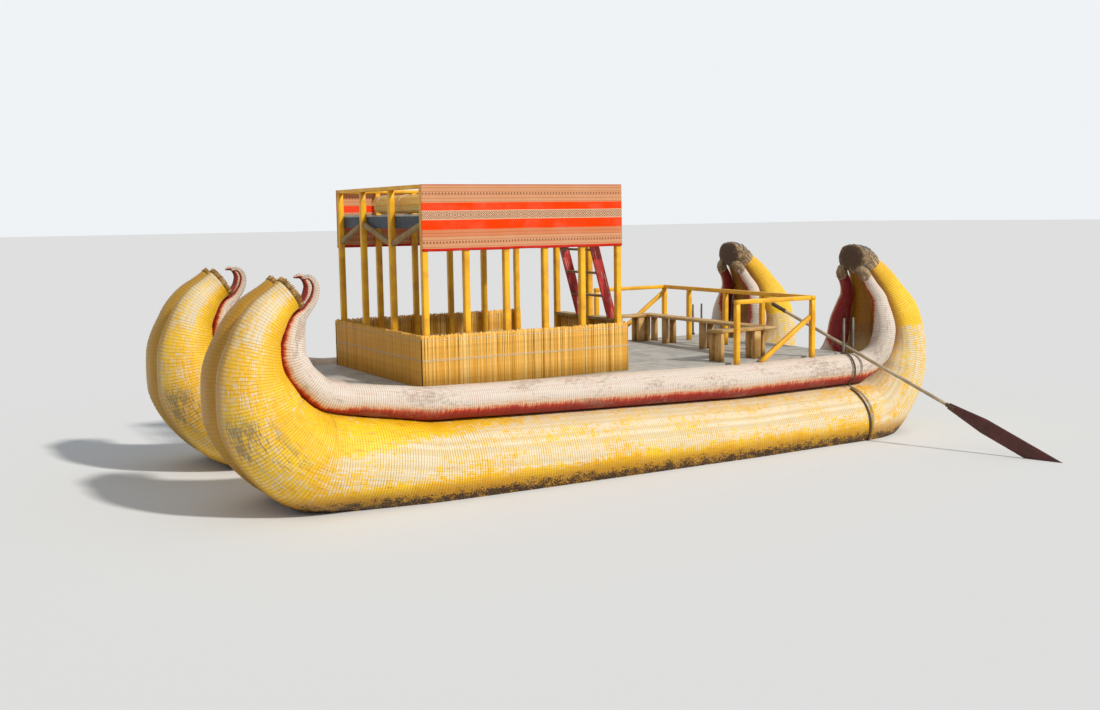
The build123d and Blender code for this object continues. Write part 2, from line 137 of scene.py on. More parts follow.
def add(tree, kind, inputs=None, stops=(), **settings):
    """Add a node. stops are a colour ramp's places and colours."""
    node = tree.nodes.new("ShaderNode" + kind)
    for name, value in settings.items():
        setattr(node, name, value)
    for number, (place, colour) in enumerate(stops):
        ramp = node.color_ramp.elements
        if number == 0:
            ramp.remove(ramp[1])
        stop = ramp.new(place) if number else ramp[0]
        stop.position, stop.color = place, linear(colour)
    for name, value in (inputs or {}).items():
        if isinstance(value, bpy.types.Node):
            value = next(socket for socket in value.outputs if socket.enabled)
        if isinstance(value, bpy.types.NodeSocket):
            tree.links.new(value, node.inputs[name])
        else:
            node.inputs[name].default_value = linear(value) if isinstance(value, str) else value
    return node


def new_material(name):
    material = bpy.data.materials.new(name)
    material.use_nodes = True
    material.node_tree.nodes.clear()
    return material, material.node_tree


print("yellow paint is", [round(v, 3) for v in linear("#F2B21A")])

# %% [markdown]
# The floor is plain and pale and lies at the waterline. One lamp stands for the sun. It shines
# from port and a little from aft, so the port side and the stern faces are lit and the bow faces
# are in soft shade. The world fills the shadows, and looks brighter where the camera sees it.

# %% Floor and lamps
floor_material, tree = new_material("pale matt floor")
matt = add(tree, "BsdfDiffuse", {"Color": "#E2E5E8"})
add(tree, "OutputMaterial", {"Surface": matt})
FLOOR_REACH = 300
floor_mesh = bpy.data.meshes.new("floor")
floor_mesh.from_pydata([(x * FLOOR_REACH, y * FLOOR_REACH, WATER)
                        for x, y in ((-1, -1), (1, -1), (1, 1), (-1, 1))], [], [(0, 1, 2, 3)])
floor = bpy.data.objects.new("floor", floor_mesh)
floor_mesh.materials.append(floor_material)
bpy.context.collection.objects.link(floor)
floor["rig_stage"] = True

FILL, BACKDROP = 0.44, 0.96
world = bpy.data.worlds.new("studio")
world.use_nodes = True
tree = world.node_tree
tree.nodes.clear()
rays = add(tree, "LightPath")
seen = add(tree, "Math", {0: rays.outputs["Is Camera Ray"], 1: rays.outputs["Is Glossy Ray"]},
           operation="MAXIMUM")
strength = add(tree, "MapRange", {"Value": seen, "To Min": FILL, "To Max": BACKDROP})
sky = add(tree, "Background", {"Color": "#F4F7FA", "Strength": strength})
add(tree, "OutputWorld", {"Surface": sky})
bpy.context.scene.world = world

SUN_FROM = Vector((-0.40, 0.76, 0.70))
sun = bpy.data.objects.new("sun", bpy.data.lights.new("sun", "SUN"))
sun.data.energy, sun.data.angle = 2.8, radians(4)
sun.data.color = linear("#FFF9EF")[:3]
sun.rotation_mode = "QUATERNION"
sun.rotation_quaternion = SUN_FROM.to_track_quat("Z", "Y")
bpy.context.collection.objects.link(sun)
bpy.context.scene.view_settings.view_transform = "Standard"
print("sun's height as a share of its distance", round(SUN_FROM.normalized().z, 2))

# %% [markdown]
# ## Meshes from rings
# Bundles, ropes, poles and boards are all long things with a cross-section, so one mesh maker
# serves them: it joins rings of points and writes two coordinates on each face corner, how far
# along the piece and how far round it, both in metres. The materials draw their patterns on
# these, so reeds and grain follow the piece wherever it bends. Both sources of chance get a
# seed: the draws, and the vector noise that makes timber waver, which without one starts from
# the clock and gives other timber on each run.

# %% Helpers for meshes
rng = np.random.default_rng(7)
noise.seed_set(7)


def angles(count):
    return np.arange(count) / count * tau


def skin(rings, along=None, width=None, closed=True):
    """Faces and their coordinates for an (n, m, 3) array of rings."""
    n, m = rings.shape[:2]
    i, j = np.meshgrid(np.arange(n - 1), np.arange(m), indexing="ij")
    i, j = i.ravel(), j.ravel()
    k = (j + 1) % m
    quads = np.stack([i * m + j, i * m + k, (i + 1) * m + k, (i + 1) * m + j], 1)
    if along is None:
        steps = np.linalg.norm(np.diff(rings.mean(1), axis=0), axis=1)
        along = np.concatenate([[0], np.cumsum(steps)])
    if width is None:
        width = np.linalg.norm(rings - np.roll(rings, 1, 1), axis=2).sum(1).mean()
    v = np.arange(m + 1) / m * width
    uv = np.stack([np.stack([along[i], along[i], along[i + 1], along[i + 1]], 1),
                   np.stack([v[j], v[j + 1], v[j + 1], v[j]], 1)], 2)
    faces = [tuple(q) for q in quads.tolist()]
    caps = [tuple(range(m - 1, -1, -1)), tuple(range((n - 1) * m, n * m))] if closed else []
    flat = [np.zeros((m, 2)) for _ in caps]
    return rings.reshape(-1, 3), faces + caps, [*uv, *flat]


def mark(thing, name, values):
    """A number on each point of a mesh, for its material to read."""
    known = thing.data.attributes
    layer = known.get(name) or known.new(name, "FLOAT", "POINT")
    layer.data.foreach_set("value", np.asarray(values, np.float32).ravel())


def make(name, parts, material, body="boat", stands_for=(), tone=None, smooth=True):
    """One object from several skins. Each has a tone from 0 to 1, its own or a random one."""
    points, faces, corners, tones, start = [], [], [], [], 0
    for number, (p, f, c) in enumerate(parts):
        points.append(p)
        faces += [tuple(v + start for v in face) for face in f]
        corners += list(c)
        tones.append(np.full(len(p), rng.random() if tone is None else tone[number]))
        start += len(p)
    mesh = bpy.data.meshes.new(name)
    mesh.from_pydata(np.concatenate(points).tolist(), [], faces)
    layer = mesh.uv_layers.new(name="surface")
    layer.data.foreach_set("uv", np.concatenate(corners).ravel().astype(np.float32))
    mesh.materials.append(material)
    mesh.polygons.foreach_set("use_smooth", [smooth] * len(mesh.polygons))
    thing = bpy.data.objects.new(name, mesh)
    bpy.context.collection.objects.link(thing)
    mark(thing, "tone", np.concatenate(tones))
    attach(thing, body)
    if stands_for:
        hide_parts(*stands_for)
    return thing


print("draws and vector noise are both seeded with 7")

# %% [markdown]
# Tables of sections are made into smooth lines. The line keeps to the table's rows and never
# swings past them, which a plain spline would do where a straight run meets a tight curve.

# %% Helpers for smooth lines
LONG_SPAN = 0.600


def glide(knots, values, at):
    """A smooth line through table values that never swings past them."""
    knots, values = np.array(knots, float), np.array(values, float)
    gaps = np.diff(knots)[:, None]
    rises = np.diff(values, axis=0) / gaps
    before, after = 2 * gaps[1:] + gaps[:-1], gaps[1:] + 2 * gaps[:-1]
    same = rises[:-1] * rises[1:] > 0
    low, high = np.where(same, rises[:-1], 1), np.where(same, rises[1:], 1)
    middle = np.where(same, (before + after) / (before / low + after / high), 0)
    slopes = np.concatenate([rises[:1], middle, rises[-1:]])
    i = np.clip(np.searchsorted(knots, at, "right") - 1, 0, len(knots) - 2)
    h = knots[i + 1] - knots[i]
    u = (at - knots[i]) / h
    h, u = h[:, None], u[:, None]
    return ((1 + 2 * u) * (1 - u) ** 2 * values[i] + u * (1 - u) ** 2 * h * slopes[i]
            + u ** 2 * (3 - 2 * u) * values[i + 1] - u ** 2 * (1 - u) * h * slopes[i + 1])


def sample(rows, step):
    """Rows of x, y, z and more, made smooth: the distance along and the new rows."""
    rows = np.array(rows, float)
    knots = np.concatenate([[0], np.cumsum(np.linalg.norm(np.diff(rows[:, :3], axis=0), axis=1))])
    along = np.linspace(0, knots[-1], int(knots[-1] / step) + 1)
    split = np.concatenate([np.linspace(a, b, int((b - a) / LONG_SPAN) + 2)[:-1]
                            for a, b in zip(knots, knots[1:])] + [knots[-1:]])
    rows = np.stack([np.interp(split, knots, column) for column in rows.T], 1)
    return along, glide(split, rows, along)


print("half way from 1 to 3 is", glide([0, 1, 2], [[1], [3], [4]], np.array([0.5]))[0, 0])

# %% [markdown]
# ## The lines of the hulls
# Each hull is two bundles of totora reed, bound side by side. Their centre line is level
# amidships and turns up at both ends in two arcs, a tight one and then a slacker curl. The
# table has one row per section: which end, how far the line has turned there, the bundle's
# radius and its distance from the hull's middle. Between rows the shape glides smoothly.

# %% Section tables
HULL_Y = 1.470
MID_HEIGHTS = {-1.7: -1.085, 1.7: -0.990, 3.05: -0.935, 3.79: -0.812, 3.88: -0.797}
BOW = dict(start=(4.054, -0.769), turn=1.131, curl=1.036, way=1)
STERN = dict(start=(-3.861, -1.030), turn=1.091, curl=1.723, way=-1)
BUNDLE = [
    ("stern", 135, 0.152, 0.150), ("stern", 130, 0.180, 0.172), ("stern", 120, 0.232, 0.210),
    ("stern", 105, 0.360, 0.250), ("stern", 90, 0.408, 0.270), ("stern", 70, 0.448, 0.275),
    ("stern", 50, 0.462, 0.280), ("stern", 25, 0.512, 0.290), ("stern", 0, 0.570, 0.300),
    ("mid", -1.7, 0.600, 0.300), ("mid", 1.7, 0.600, 0.300), ("mid", 3.05, 0.592, 0.300),
    ("mid", 3.79, 0.583, 0.305), ("mid", 3.88, 0.582, 0.306), ("bow", 0, 0.580, 0.310),
    ("bow", 22, 0.589, 0.330), ("bow", 45, 0.547, 0.345), ("bow", 68, 0.492, 0.345),
    ("bow", 90, 0.385, 0.330), ("bow", 112, 0.293, 0.290), ("bow", 128, 0.254, 0.250),
    ("bow", 146, 0.203, 0.200)]
OUTER_ROLL = [
    ("stern", 130, 0.095, 0.262, 0.010), ("stern", 120, 0.122, 0.352, 0),
    ("arc", 90, 0.170, 0.480, 0), ("arc", 60, 0.182, 0.470, 0), ("arc", 30, 0.198, 0.400, 0),
    ("arc", 0, 0.226, 0.370, 0.005), ("mid", -1.7, 0.238, 0.345, 0), ("mid", 1.7, 0.219, 0.340, 0),
    ("mid", 3.05, 0.210, 0.335, 0), ("mid", 3.79, 0.196, 0.310, 0), ("mid", 3.88, 0.194, 0.300, 0),
    ("bow", 0, 0.190, 0.275, 0), ("bow", 22, 0.188, 0.290, 0), ("bow", 45, 0.186, 0.305, 0),
    ("bow", 68, 0.184, 0.305, 0), ("bow", 90, 0.180, 0.290, 0), ("bow", 112, 0.168, 0.250, 0),
    ("bow", 128, 0.148, 0.208, 0), ("bow", 146, 0.106, 0.150, 0)]
UNDER_DECK = {("arc", 0): 0.170, ("mid", -1.7): 0.190, ("mid", 1.7): 0.143, ("mid", 3.05): 0.118,
              ("mid", 3.79): 0.058, ("mid", 3.88): 0.168}
HOOK = [(4.476, 1.047, 0.067), (4.404, 1.134, 0.059), (4.357, 1.222, 0.054),
        (4.341, 1.314, 0.049), (4.369, 1.396, 0.043), (4.433, 1.441, 0.035),
        (4.500, 1.424, 0.025)]
ROLL_TURN, ROLL_TURN_X = 0.540, -3.880
RADIUS_AT = {(end, turn): radius for end, turn, radius, offset in BUNDLE}
OFFSET_AT = {(end, turn): offset for end, turn, radius, offset in BUNDLE}


def spine(end, turn):
    """A section's centre on the hull's line: x, z and heading."""
    if end == "mid":
        return turn, MID_HEIGHTS[turn], 0
    shape = BOW if end == "bow" else STERN
    a, way = radians(turn), shape["way"]
    x, z = shape["start"]
    if turn <= 90:
        return x + way * shape["turn"] * sin(a), z + shape["turn"] * (1 - cos(a)), way * turn
    x, z = x + way * shape["turn"], z + shape["turn"]
    return x - way * shape["curl"] * (1 - sin(a)), z - shape["curl"] * cos(a), way * turn


def roll_centre(row, radius):
    """Where a roll's section lies: x and z."""
    end, turn, full, offset, lift = row
    if end == "arc":
        seat = "stern", 0
        level = next(row for row in OUTER_ROLL if row[:2] == ("arc", 0))
        reach = RADIUS_AT[seat] + level[2] + MM + level[4]
        z = STERN["start"][1] + sqrt(reach ** 2 - (level[3] - OFFSET_AT[seat]) ** 2)
        z -= full - radius
        a = radians(turn)
        return ROLL_TURN_X - ROLL_TURN * sin(a), z + ROLL_TURN * (1 - cos(a))
    x, z, heading = spine(end, turn)
    reach = RADIUS_AT[end, turn] + radius + MM + lift
    inward = sqrt(reach ** 2 - (offset - OFFSET_AT[end, turn]) ** 2)
    return x - inward * sin(radians(heading)), z + inward * cos(radians(heading))


print("stern tip", [round(v, 2) for v in spine("stern", 135)],
      "bow end", [round(v, 2) for v in spine("bow", 146)])

# %% [markdown]
# ## Totora under yellow paint
# The hulls are dry totora reeds laid lengthwise and bound by a cord every 34 mm, then
# painted yellow. Oil paint on reed is satin where it is whole; sun takes it off in patches down
# to chalky cream reed, rubbing leaves it grey, and the waterline is stained dark brown. The
# nodes follow that order: reeds and bindings first, then paint, wear and stain on top.
# Real reeds are about 12 mm wide. Here they are 16 mm, so that they show in the render.

# %% Painted reed for the bundles
BINDING = 34 * MM
REED = 16 * MM
CORD_SHADE = 6 * MM


def reed_relief(tree, reed, binding, spread, share):
    """Lengthwise reeds with bindings across: their map, each reed's tone, ties and relief."""
    place = add(tree, "UVMap", uv_map="surface")
    along, across = add(tree, "SeparateXYZ", {0: place}).outputs[:2]
    wander = add(tree, "TexNoise", {"Vector": place, "Scale": 6.0, "Detail": 2.0})
    across = add(tree, "Math", {0: wander, 1: spread, 2: across}, operation="MULTIPLY_ADD")
    half = add(tree, "Math", {0: across, 1: reed / 2}, operation="PINGPONG")
    height = add(tree, "MapRange", {"Value": half, "From Max": reed / 2},
                 interpolation_type="SMOOTHSTEP")
    number = add(tree, "Math", {0: across, 1: reed}, operation="DIVIDE")
    whole = add(tree, "Math", {0: number}, operation="FLOOR")
    each = add(tree, "TexWhiteNoise", {"W": whole}, noise_dimensions="1D")
    tie = add(tree, "Math", {0: along, 1: binding / 2}, operation="PINGPONG")
    ties = add(tree, "MapRange", {"Value": tie, "From Max": CORD_SHADE,
                                  "To Min": 1.0, "To Max": 0.0}, interpolation_type="SMOOTHSTEP")
    relief = add(tree, "Math", {0: height, 1: share}, operation="MULTIPLY")
    relief = add(tree, "Math", {0: relief, 1: ties}, operation="SUBTRACT")
    return place, each, ties, relief


print("a binding's line is", 2 * CORD_SHADE / MM, "mm wide")

# %% Helpers for wear and paint
def blotches(tree, vector, scale, low, high, detail=5.0):
    """A mask of blotches: 0 where a noise is below low and 1 where it is above high."""
    blots = add(tree, "TexNoise", {"Vector": vector, "Scale": scale, "Detail": detail,
                                   "Roughness": 0.62, "Distortion": 0.3})
    return add(tree, "MapRange", {"Value": blots, "From Min": low, "From Max": high},
               interpolation_type="SMOOTHSTEP")


def zone(tree, *limits):
    """Where each value is past its limits: pairs of a value and where it counts 0 and 1."""
    whole = 1.0
    for value, (none, full) in limits:
        part = add(tree, "MapRange", {"Value": value, "From Min": none, "From Max": full},
                   interpolation_type="SMOOTHSTEP")
        whole = add(tree, "Math", {0: whole, 1: part}, operation="MULTIPLY")
    return whole


def layers(tree, place, *grains):
    """Noises added up: triples of scale along, scale round and weight."""
    whole = 0.0
    for along, across, weight in grains:
        stretched = add(tree, "Mapping", {"Vector": place, "Scale": (along, across, 1.0)})
        grain = add(tree, "TexNoise", {"Vector": stretched, "Scale": 1.0, "Detail": 4.0,
                                       "Roughness": 0.6})
        whole = add(tree, "Math", {0: grain, 1: weight, 2: whole}, operation="MULTIPLY_ADD")
    return whole


def coats(tree, colour, *coats_on_it):
    """Thin coats laid on a colour in turn: triples of mask, strength and the coat's colour."""
    for mask, strength, over in coats_on_it:
        share = add(tree, "Math", {0: mask, 1: strength}, operation="MULTIPLY")
        colour = add(tree, "Mix", {0: share, 6: colour, 7: over}, data_type="RGBA")
    return colour


def surface(tree, colour, roughness, height, depth, **principled):
    """The shader itself: colour, roughness and a bump of a real depth in metres."""
    bump = add(tree, "Bump", {"Height": height, "Distance": depth, "Strength": 1.0})
    sockets = {"Base Color": colour, "Roughness": roughness, "Normal": bump, **principled}
    shader = add(tree, "BsdfPrincipled", sockets)
    add(tree, "OutputMaterial", {"Surface": shader})


print("wear is drawn by", [helper.__name__ for helper in (blotches, zone, layers, coats)])

# %% [markdown]
# The sun has faded some places more than others: the sides amidships and under the stern, and
# a stripe up the bow where it faces forward. The mesh carries two numbers for each point, how
# far it faces away from the twin bundle and how far it faces the hollow of the curve, and
# zones of wear and of painted shade are cut out of those and of the place along the boat.

# %% Where the yellow paint wears
painted_reed, tree = new_material("totora reed, yellow oil paint")
place, each_reed, bindings, relief = reed_relief(tree, REED, BINDING, 10 * MM, 0.4)
where = add(tree, "TexCoord").outputs["Object"]
fore, _, above = add(tree, "SeparateXYZ", {0: where}).outputs
hollow = add(tree, "Attribute", attribute_name="hollow").outputs["Fac"]
outward = add(tree, "Attribute", attribute_name="outward").outputs["Fac"]
facing = add(tree, "CombineXYZ", {0: outward, 1: hollow})
front = add(tree, "VectorMath", {0: facing, 1: (0.80, -0.60, 0.0)}, operation="DOT_PRODUCT")

high = add(tree, "Math", {0: fore, 1: 0.07, 2: above}, operation="MULTIPLY_ADD")
faded = zone(tree, (above, (-1.04, -0.90)), (high, (-0.18, -0.34)), (fore, (5.0, 4.1)),
             (fore, (-4.3, -3.7)))
under_stern = zone(tree, (fore, (-3.5, -4.1)), (above, (0.42, 0.36)))
bow_stripe = zone(tree, (front, (0.62, 0.92)), (fore, (3.9, 4.6)), (above, (0.45, 0.85)))
bow_front = zone(tree, (front, (0.55, 0.95)), (fore, (3.9, 4.6)))
for part, most in ((under_stern, 0.90), (bow_stripe, 1.00), (bow_front, 0.35)):
    part = add(tree, "Math", {0: part, 1: most}, operation="MULTIPLY")
    faded = add(tree, "Math", {0: faded, 1: part}, operation="MAXIMUM")
wear = layers(tree, place, (8.0, 70.0, 0.40), (45.0, 9.0, 0.36), (1.4, 5.0, 0.24))
wear = add(tree, "Math", {0: faded, 1: 0.105, 2: wear}, operation="MULTIPLY_ADD")
stern_curl = zone(tree, (fore, (-3.9, -4.2)), (above, (0.34, 0.42)))
bow_flank = zone(tree, (fore, (4.2, 4.9)), (front, (0.45, 0.05)), (above, (0.2, 0.5)))
for part in (stern_curl, bow_flank):
    wear = add(tree, "Math", {0: part, 1: -0.085, 2: wear}, operation="MULTIPLY_ADD")
bare = add(tree, "MapRange", {"Value": wear, "From Min": 0.545, "From Max": 0.605})
print("nodes for the wear", len(tree.nodes))

# %% Yellow paint, bare reed, grime and painted shade
yellow = add(tree, "Mix", {0: blotches(tree, where, 0.9, 0.36, 0.66), 6: "#F6BC0A",
                           7: "#FFD21A"}, data_type="RGBA")
streak = zone(tree, (layers(tree, place, (5.0, 70.0, 1.0)), (0.50, 0.68)))
cream = add(tree, "Mix", {0: each_reed, 6: "#DCCAA2", 7: "#ECDFC4"}, data_type="RGBA")
# Painted shade: the stern's hollow faces, turned forward away from the lamp, get a brown coat.
brown = zone(tree, (hollow, (0.35, 0.80)), (above, (-0.1, 0.3)), (fore, (-3.9, -4.3)))
# Painted shade: bow faces turned forward and toward the twin bundle get a darker brown coat.
shaded = zone(tree, (hollow, (-0.40, -0.85)), (outward, (0.45, 0.05)), (fore, (4.2, 5.0)))
scuffs = layers(tree, place, (1.8, 6.0, 0.50), (14.0, 60.0, 0.50))
rubbed = zone(tree, (front, (0.72, 0.92)), (above, (0.05, -0.20)), (above, (-0.75, -0.50)),
              (fore, (4.0, 4.4)), (scuffs, (0.47, 0.54)))
patchy = blotches(tree, place, 2.2, 0.40, 0.62)
cord_tone = add(tree, "MapRange", {"Value": patchy, "To Min": 0.24, "To Max": 0.60})
cord_tone = add(tree, "Math", {0: cord_tone, 1: bindings}, operation="MULTIPLY")
colour = coats(tree, yellow, (streak, 1.0, "#E3A30E"), (bare, 1.0, cream),
               (brown, 0.85, "#9A6010"), (shaded, 0.70, "#94620C"), (rubbed, 0.80, "#8C7C62"),
               (cord_tone, 1.0, "#9C6A2C"))
print("nodes with the paint", len(tree.nodes))

# %% Stain at the waterline
soaked = zone(tree, (above, (-0.94, -1.12)))
wet = zone(tree, (above, (-0.92, -1.23)))
speckle = layers(tree, place, (42.0, 55.0, 0.55), (7.0, 12.0, 0.45))
wet = add(tree, "Math", {0: wet, 1: 0.36, 2: speckle}, operation="MULTIPLY_ADD")
stain = add(tree, "MapRange", {"Value": wet, "From Min": 0.74, "From Max": 0.86})
colour = coats(tree, colour, (soaked, 0.80, "#B07A12"), (stain, 1.0, "#3C2406"))
rough = add(tree, "MapRange", {"Value": bare, "To Min": 0.45, "To Max": 0.80})
surface(tree, colour, rough, relief, 2.5 * MM)
print("reeds", REED / MM, "mm wide, bound every", BINDING / MM, "mm")

# %% [markdown]
# ## The four bundles
# A bundle is nearly round, with a flat where it is pressed against its twin. Bound reeds are
# never even: a slow noise makes the bundle swell and sink by a centimetre, and each binding
# pulls it in by some 5 mm, more at one and less at the next. Two rings per binding are enough
# to show that as real relief. At the bow the painted reeds run on to just short of the collar's
# rim. The foremost and aftmost skin is pressed in a little, to stay inside the frame's box.

# %% Bundles
LUMP = 9 * MM
PINCH = 5 * MM
PRESSED = 25 * MM
COLLAR_PAINT = 0.085
BUNDLE_GIRTH = tau * 0.45
FRONT, BACK = cad_box[1][0] - MM, cad_box[0][0] + MM
BOW_END = ("bow", 146)


def bundle(hull, side, segments=64):
    """Rings of one bundle, and how far each point faces outward and the curve's hollow."""
    rows = []
    for end, turn, radius, offset in BUNDLE:
        x, z, heading = spine(end, turn)
        rows.append((x, 0, z, radius, offset))
    a = radians(heading)
    rows.append((x + COLLAR_PAINT * cos(a), 0, z + COLLAR_PAINT * sin(a), radius + 3 * MM, offset))
    along, rows = sample(rows, BINDING / 2)
    x, z, radius, offset = rows[:, 0], rows[:, 2], rows[:, 3], rows[:, 4]
    heading = np.arctan2(np.gradient(z), np.gradient(x))
    turn = angles(segments)
    pinch = np.where(np.arange(len(along)) % 2, 0, -PINCH * rng.uniform(0.6, 1.4, len(along)))
    rings = np.zeros((len(along), segments, 3))
    for i in range(len(along)):
        for j in range(segments):
            lump = noise.noise((along[i] * 1.1, 3 * cos(turn[j]), 3 * sin(turn[j]) + side * 7))
            r = radius[i] - LUMP / 2 + LUMP * lump * 0.5 + pinch[i]
            across = max(offset[i] + r * cos(turn[j]), offset[i] - 0.97 * radius[i], 0.0005)
            inward = r * sin(turn[j])
            rings[i, j] = (x[i] - inward * sin(heading[i]), hull * HULL_Y + side * across,
                           z[i] + inward * cos(heading[i]))
    for limit, way in ((FRONT, 1), (BACK, -1)):
        over = np.maximum(way * (rings[..., 0] - limit) + PRESSED, 0)
        rings[..., 0] += way * (PRESSED * np.tanh(over / PRESSED) - over)
    faces = np.broadcast_to([np.cos(turn), np.sin(turn)], (len(along), 2, segments))
    faces = faces.transpose(1, 0, 2)
    if side > 0:
        rings, faces = rings[:, ::-1], faces[:, :, ::-1]
    return skin(rings, along, BUNDLE_GIRTH), faces


for hull, name in ((1, "port"), (-1, "starboard")):
    for side, place_name in ((hull, "outer"), (-hull, "inner")):
        node = f"bundle_{name}_{place_name}"
        part, (outward, hollow) = bundle(hull, side)
        thing = make(node + "_reeds", [part], painted_reed, stands_for=[node])
        mark(thing, "outward", outward)
        mark(thing, "hollow", hollow)
        print(thing.name, len(thing.data.polygons), "faces")

# %% [markdown]
# ## The gunwale rolls
# A thinner roll lies in the groove on top of each bundle and ends in a curled hook at the bow.
# Its top is chalky white paint, its underside dark red, and they meet in a worn orange band with
# teeth along the bindings. Which side is "under" changes along the roll: at the stern it is the
# side that faces forward and the hull's middle. So the mesh carries a number from 0, top, to 1,
# under, and the paint reads it.

# %% Painted reed for the rolls
ROLL_BINDING = 28 * MM

roll_paint, tree = new_material("totora reed, white and red oil paint")
place, each_reed, bindings, relief = reed_relief(tree, REED * 0.8, ROLL_BINDING, 8 * MM, 0.5)
under = add(tree, "Attribute", attribute_name="under").outputs["Fac"]
ragged = layers(tree, place, (32.0, 4.0, 0.34), (4.0, 60.0, 0.14), (1.1, 3.0, 0.20))
ragged = add(tree, "Math", {0: ragged, 1: under}, operation="ADD")
ragged = add(tree, "Math", {0: ragged, 1: 0.6}, operation="MULTIPLY")
paint = add(tree, "ValToRGB", {0: ragged}, stops=[
    (0.50, "#E6DCD0"), (0.57, "#E8C8A8"), (0.615, "#DC7448"), (0.65, "#B42420"),
    (0.73, "#8C1018")])
chalk = layers(tree, place, (3.0, 40.0, 0.6), (30.0, 6.0, 0.4))
blush = zone(tree, (ragged, (0.62, 0.54)), (chalk, (0.50, 0.60)))
colour = coats(tree, paint, (blush, 0.45, "#E3BDA8"))
tone = add(tree, "Mix", {0: each_reed, 6: "#C4B8A6", 7: "#FFFFFF"}, data_type="RGBA")
colour = add(tree, "Mix", {0: 0.25, 6: colour, 7: tone}, data_type="RGBA", blend_type="MULTIPLY")
dirt = zone(tree, (layers(tree, place, (1.3, 4.0, 0.6), (14.0, 30.0, 0.4)), (0.50, 0.62)))
colour = coats(tree, colour, (dirt, 0.55, "#98836F"), (bindings, 0.50, "#8A4A3A"))
surface(tree, colour, 0.68, relief, 2.2 * MM)
print("rolls bound every", ROLL_BINDING / MM, "mm")

# %% [markdown]
# The rolls are made as the bundles are. Where the deck's beams cross, the inner rolls are
# squeezed thinner. Each hook tapers to a blunt tip, and each stern end goes on under its wrap.
# A twist of 1 turns the white round by 125 degrees, from the top to the side.

# %% Rolls
ROLL_LUMP = 4 * MM
ROLL_PINCH = 2.5 * MM
ROLL_GIRTH = tau * 0.19
FULL_TWIST, BOW_TWIST, HOOK_TWIST = 125, 0.22, 0.15
OUTER_TWIST = {("stern", 130): 0.9, ("stern", 120): 0.9, ("arc", 90): 0.5, ("arc", 60): 0.35,
               ("arc", 30): 0.15, ("bow", 22): 0.15, ("bow", 0): 0.05}
HIDDEN_END = (138, 0.086, 0.236, 0.240)


def roll(hull, side, inner, segments=32):
    turn, radius, offset, inward = HIDDEN_END
    x, z, heading = spine("stern", turn)
    a = radians(heading)
    rows = [(x - inward * sin(a), offset, z + inward * cos(a), radius, 1.0)]
    for row in OUTER_ROLL:
        end, turn, radius, offset, lift = row
        radius = UNDER_DECK.get((end, turn), radius) if inner else radius
        x, z = roll_centre(row, radius)
        twist = OUTER_TWIST.get((end, turn), BOW_TWIST if end == "bow" else 0.0)
        if inner and end in ("stern", "arc"):
            twist = min(1.0, turn / 60)
        rows.append((x, offset, z, radius, twist))
    rows += [(x, OUTER_ROLL[-1][3], z, radius, HOOK_TWIST) for x, z, radius in HOOK]
    along, rows = sample(rows, ROLL_BINDING / 2)
    x, offset, z, radius, twist = rows.T
    whitest = np.radians(90 - FULL_TWIST * twist)
    heading = np.unwrap(np.arctan2(np.gradient(z), np.gradient(x)))
    turn = angles(segments)
    pinch = -ROLL_PINCH * rng.uniform(0.6, 1.4, len(along))
    pinch = np.where(np.arange(len(along)) % 2, 0, pinch)
    tip = np.clip((along[-1] - along) / 0.03, 0.3, 1) ** 0.5
    rings = np.zeros((len(along), segments, 3))
    under = np.zeros((len(along), segments))
    for i in range(len(along)):
        for j in range(segments):
            c, s = cos(turn[j]), sin(turn[j])
            lump = noise.noise((along[i] * 1.7, 2 * c, 2 * s + side * 5 + hull))
            r = (radius[i] - ROLL_LUMP + ROLL_LUMP * lump + pinch[i]) * tip[i]
            rings[i, j] = (x[i] - r * s * sin(heading[i]),
                           hull * HULL_Y + side * (offset[i] + r * c),
                           z[i] + r * s * cos(heading[i]))
            under[i, j] = 0.5 - 0.5 * cos(turn[j] - whitest[i])
    if side > 0:
        rings, under = rings[:, ::-1], under[:, ::-1]
    return skin(rings, along, ROLL_GIRTH), under


for hull, name in ((1, "port"), (-1, "starboard")):
    for side, place_name in ((hull, "outer"), (-hull, "inner")):
        node = f"roll_{name}_{place_name}"
        part, under_side = roll(hull, side, place_name == "inner")
        thing = make(node + "_reeds", [part], roll_paint, stands_for=[node])
        mark(thing, "under", under_side)
        print(thing.name, len(thing.data.polygons), "faces")

# %% [markdown]
# ## Cut reed ends at the bows
# Each bundle ends in a flared collar where the reeds are cut off: dry, brown and unpainted,
# with a dark hollow inside. Stubs of reed are set round it in rings, each a little different in
# length and lean, since a row of equal stubs looks machined.

# %% Cut totora
def fibres(tree, along, across, detail):
    """Fine fibres that run along a piece, as a noise stretched on its surface map."""
    place = add(tree, "UVMap", uv_map="surface")
    stretched = add(tree, "Mapping", {"Vector": place, "Scale": (along, across, 1.0)})
    return add(tree, "TexNoise", {"Vector": stretched, "Scale": 1.0, "Detail": detail})


cut_totora, tree = new_material("totora reed, cut and dry")
tone = add(tree, "Attribute", attribute_name="tone").outputs["Fac"]
fine = fibres(tree, 40.0, 900.0, 3.0)
reed_tone = add(tree, "ValToRGB", {0: tone}, stops=[
    (0.0, "#6E4A22"), (0.35, "#94682F"), (0.7, "#B58642"), (1.0, "#CDA766")])
surface(tree, coats(tree, reed_tone, (fine, 0.5, "#6E5430")), 0.8, fine, 0.6 * MM)


def stub(base, tip, thick, sides=6):
    """A short reed from one point to another, a little thinner at its tip."""
    base, tip = Vector(base), Vector(tip)
    across = (tip - base).orthogonal().normalized()
    other = (tip - base).normalized().cross(across)
    rings = np.array([[centre + thick * share * (cos(a) * across + sin(a) * other)
                       for a in angles(sides)]
                      for centre, share in ((base, 1), ((base + tip) / 2, 0.95), (tip, 0.8))])
    return skin(rings, width=tau * thick)


print("a stub has", len(stub((0, 0, 0), (0, 0, 1), 7 * MM)[1]), "faces")

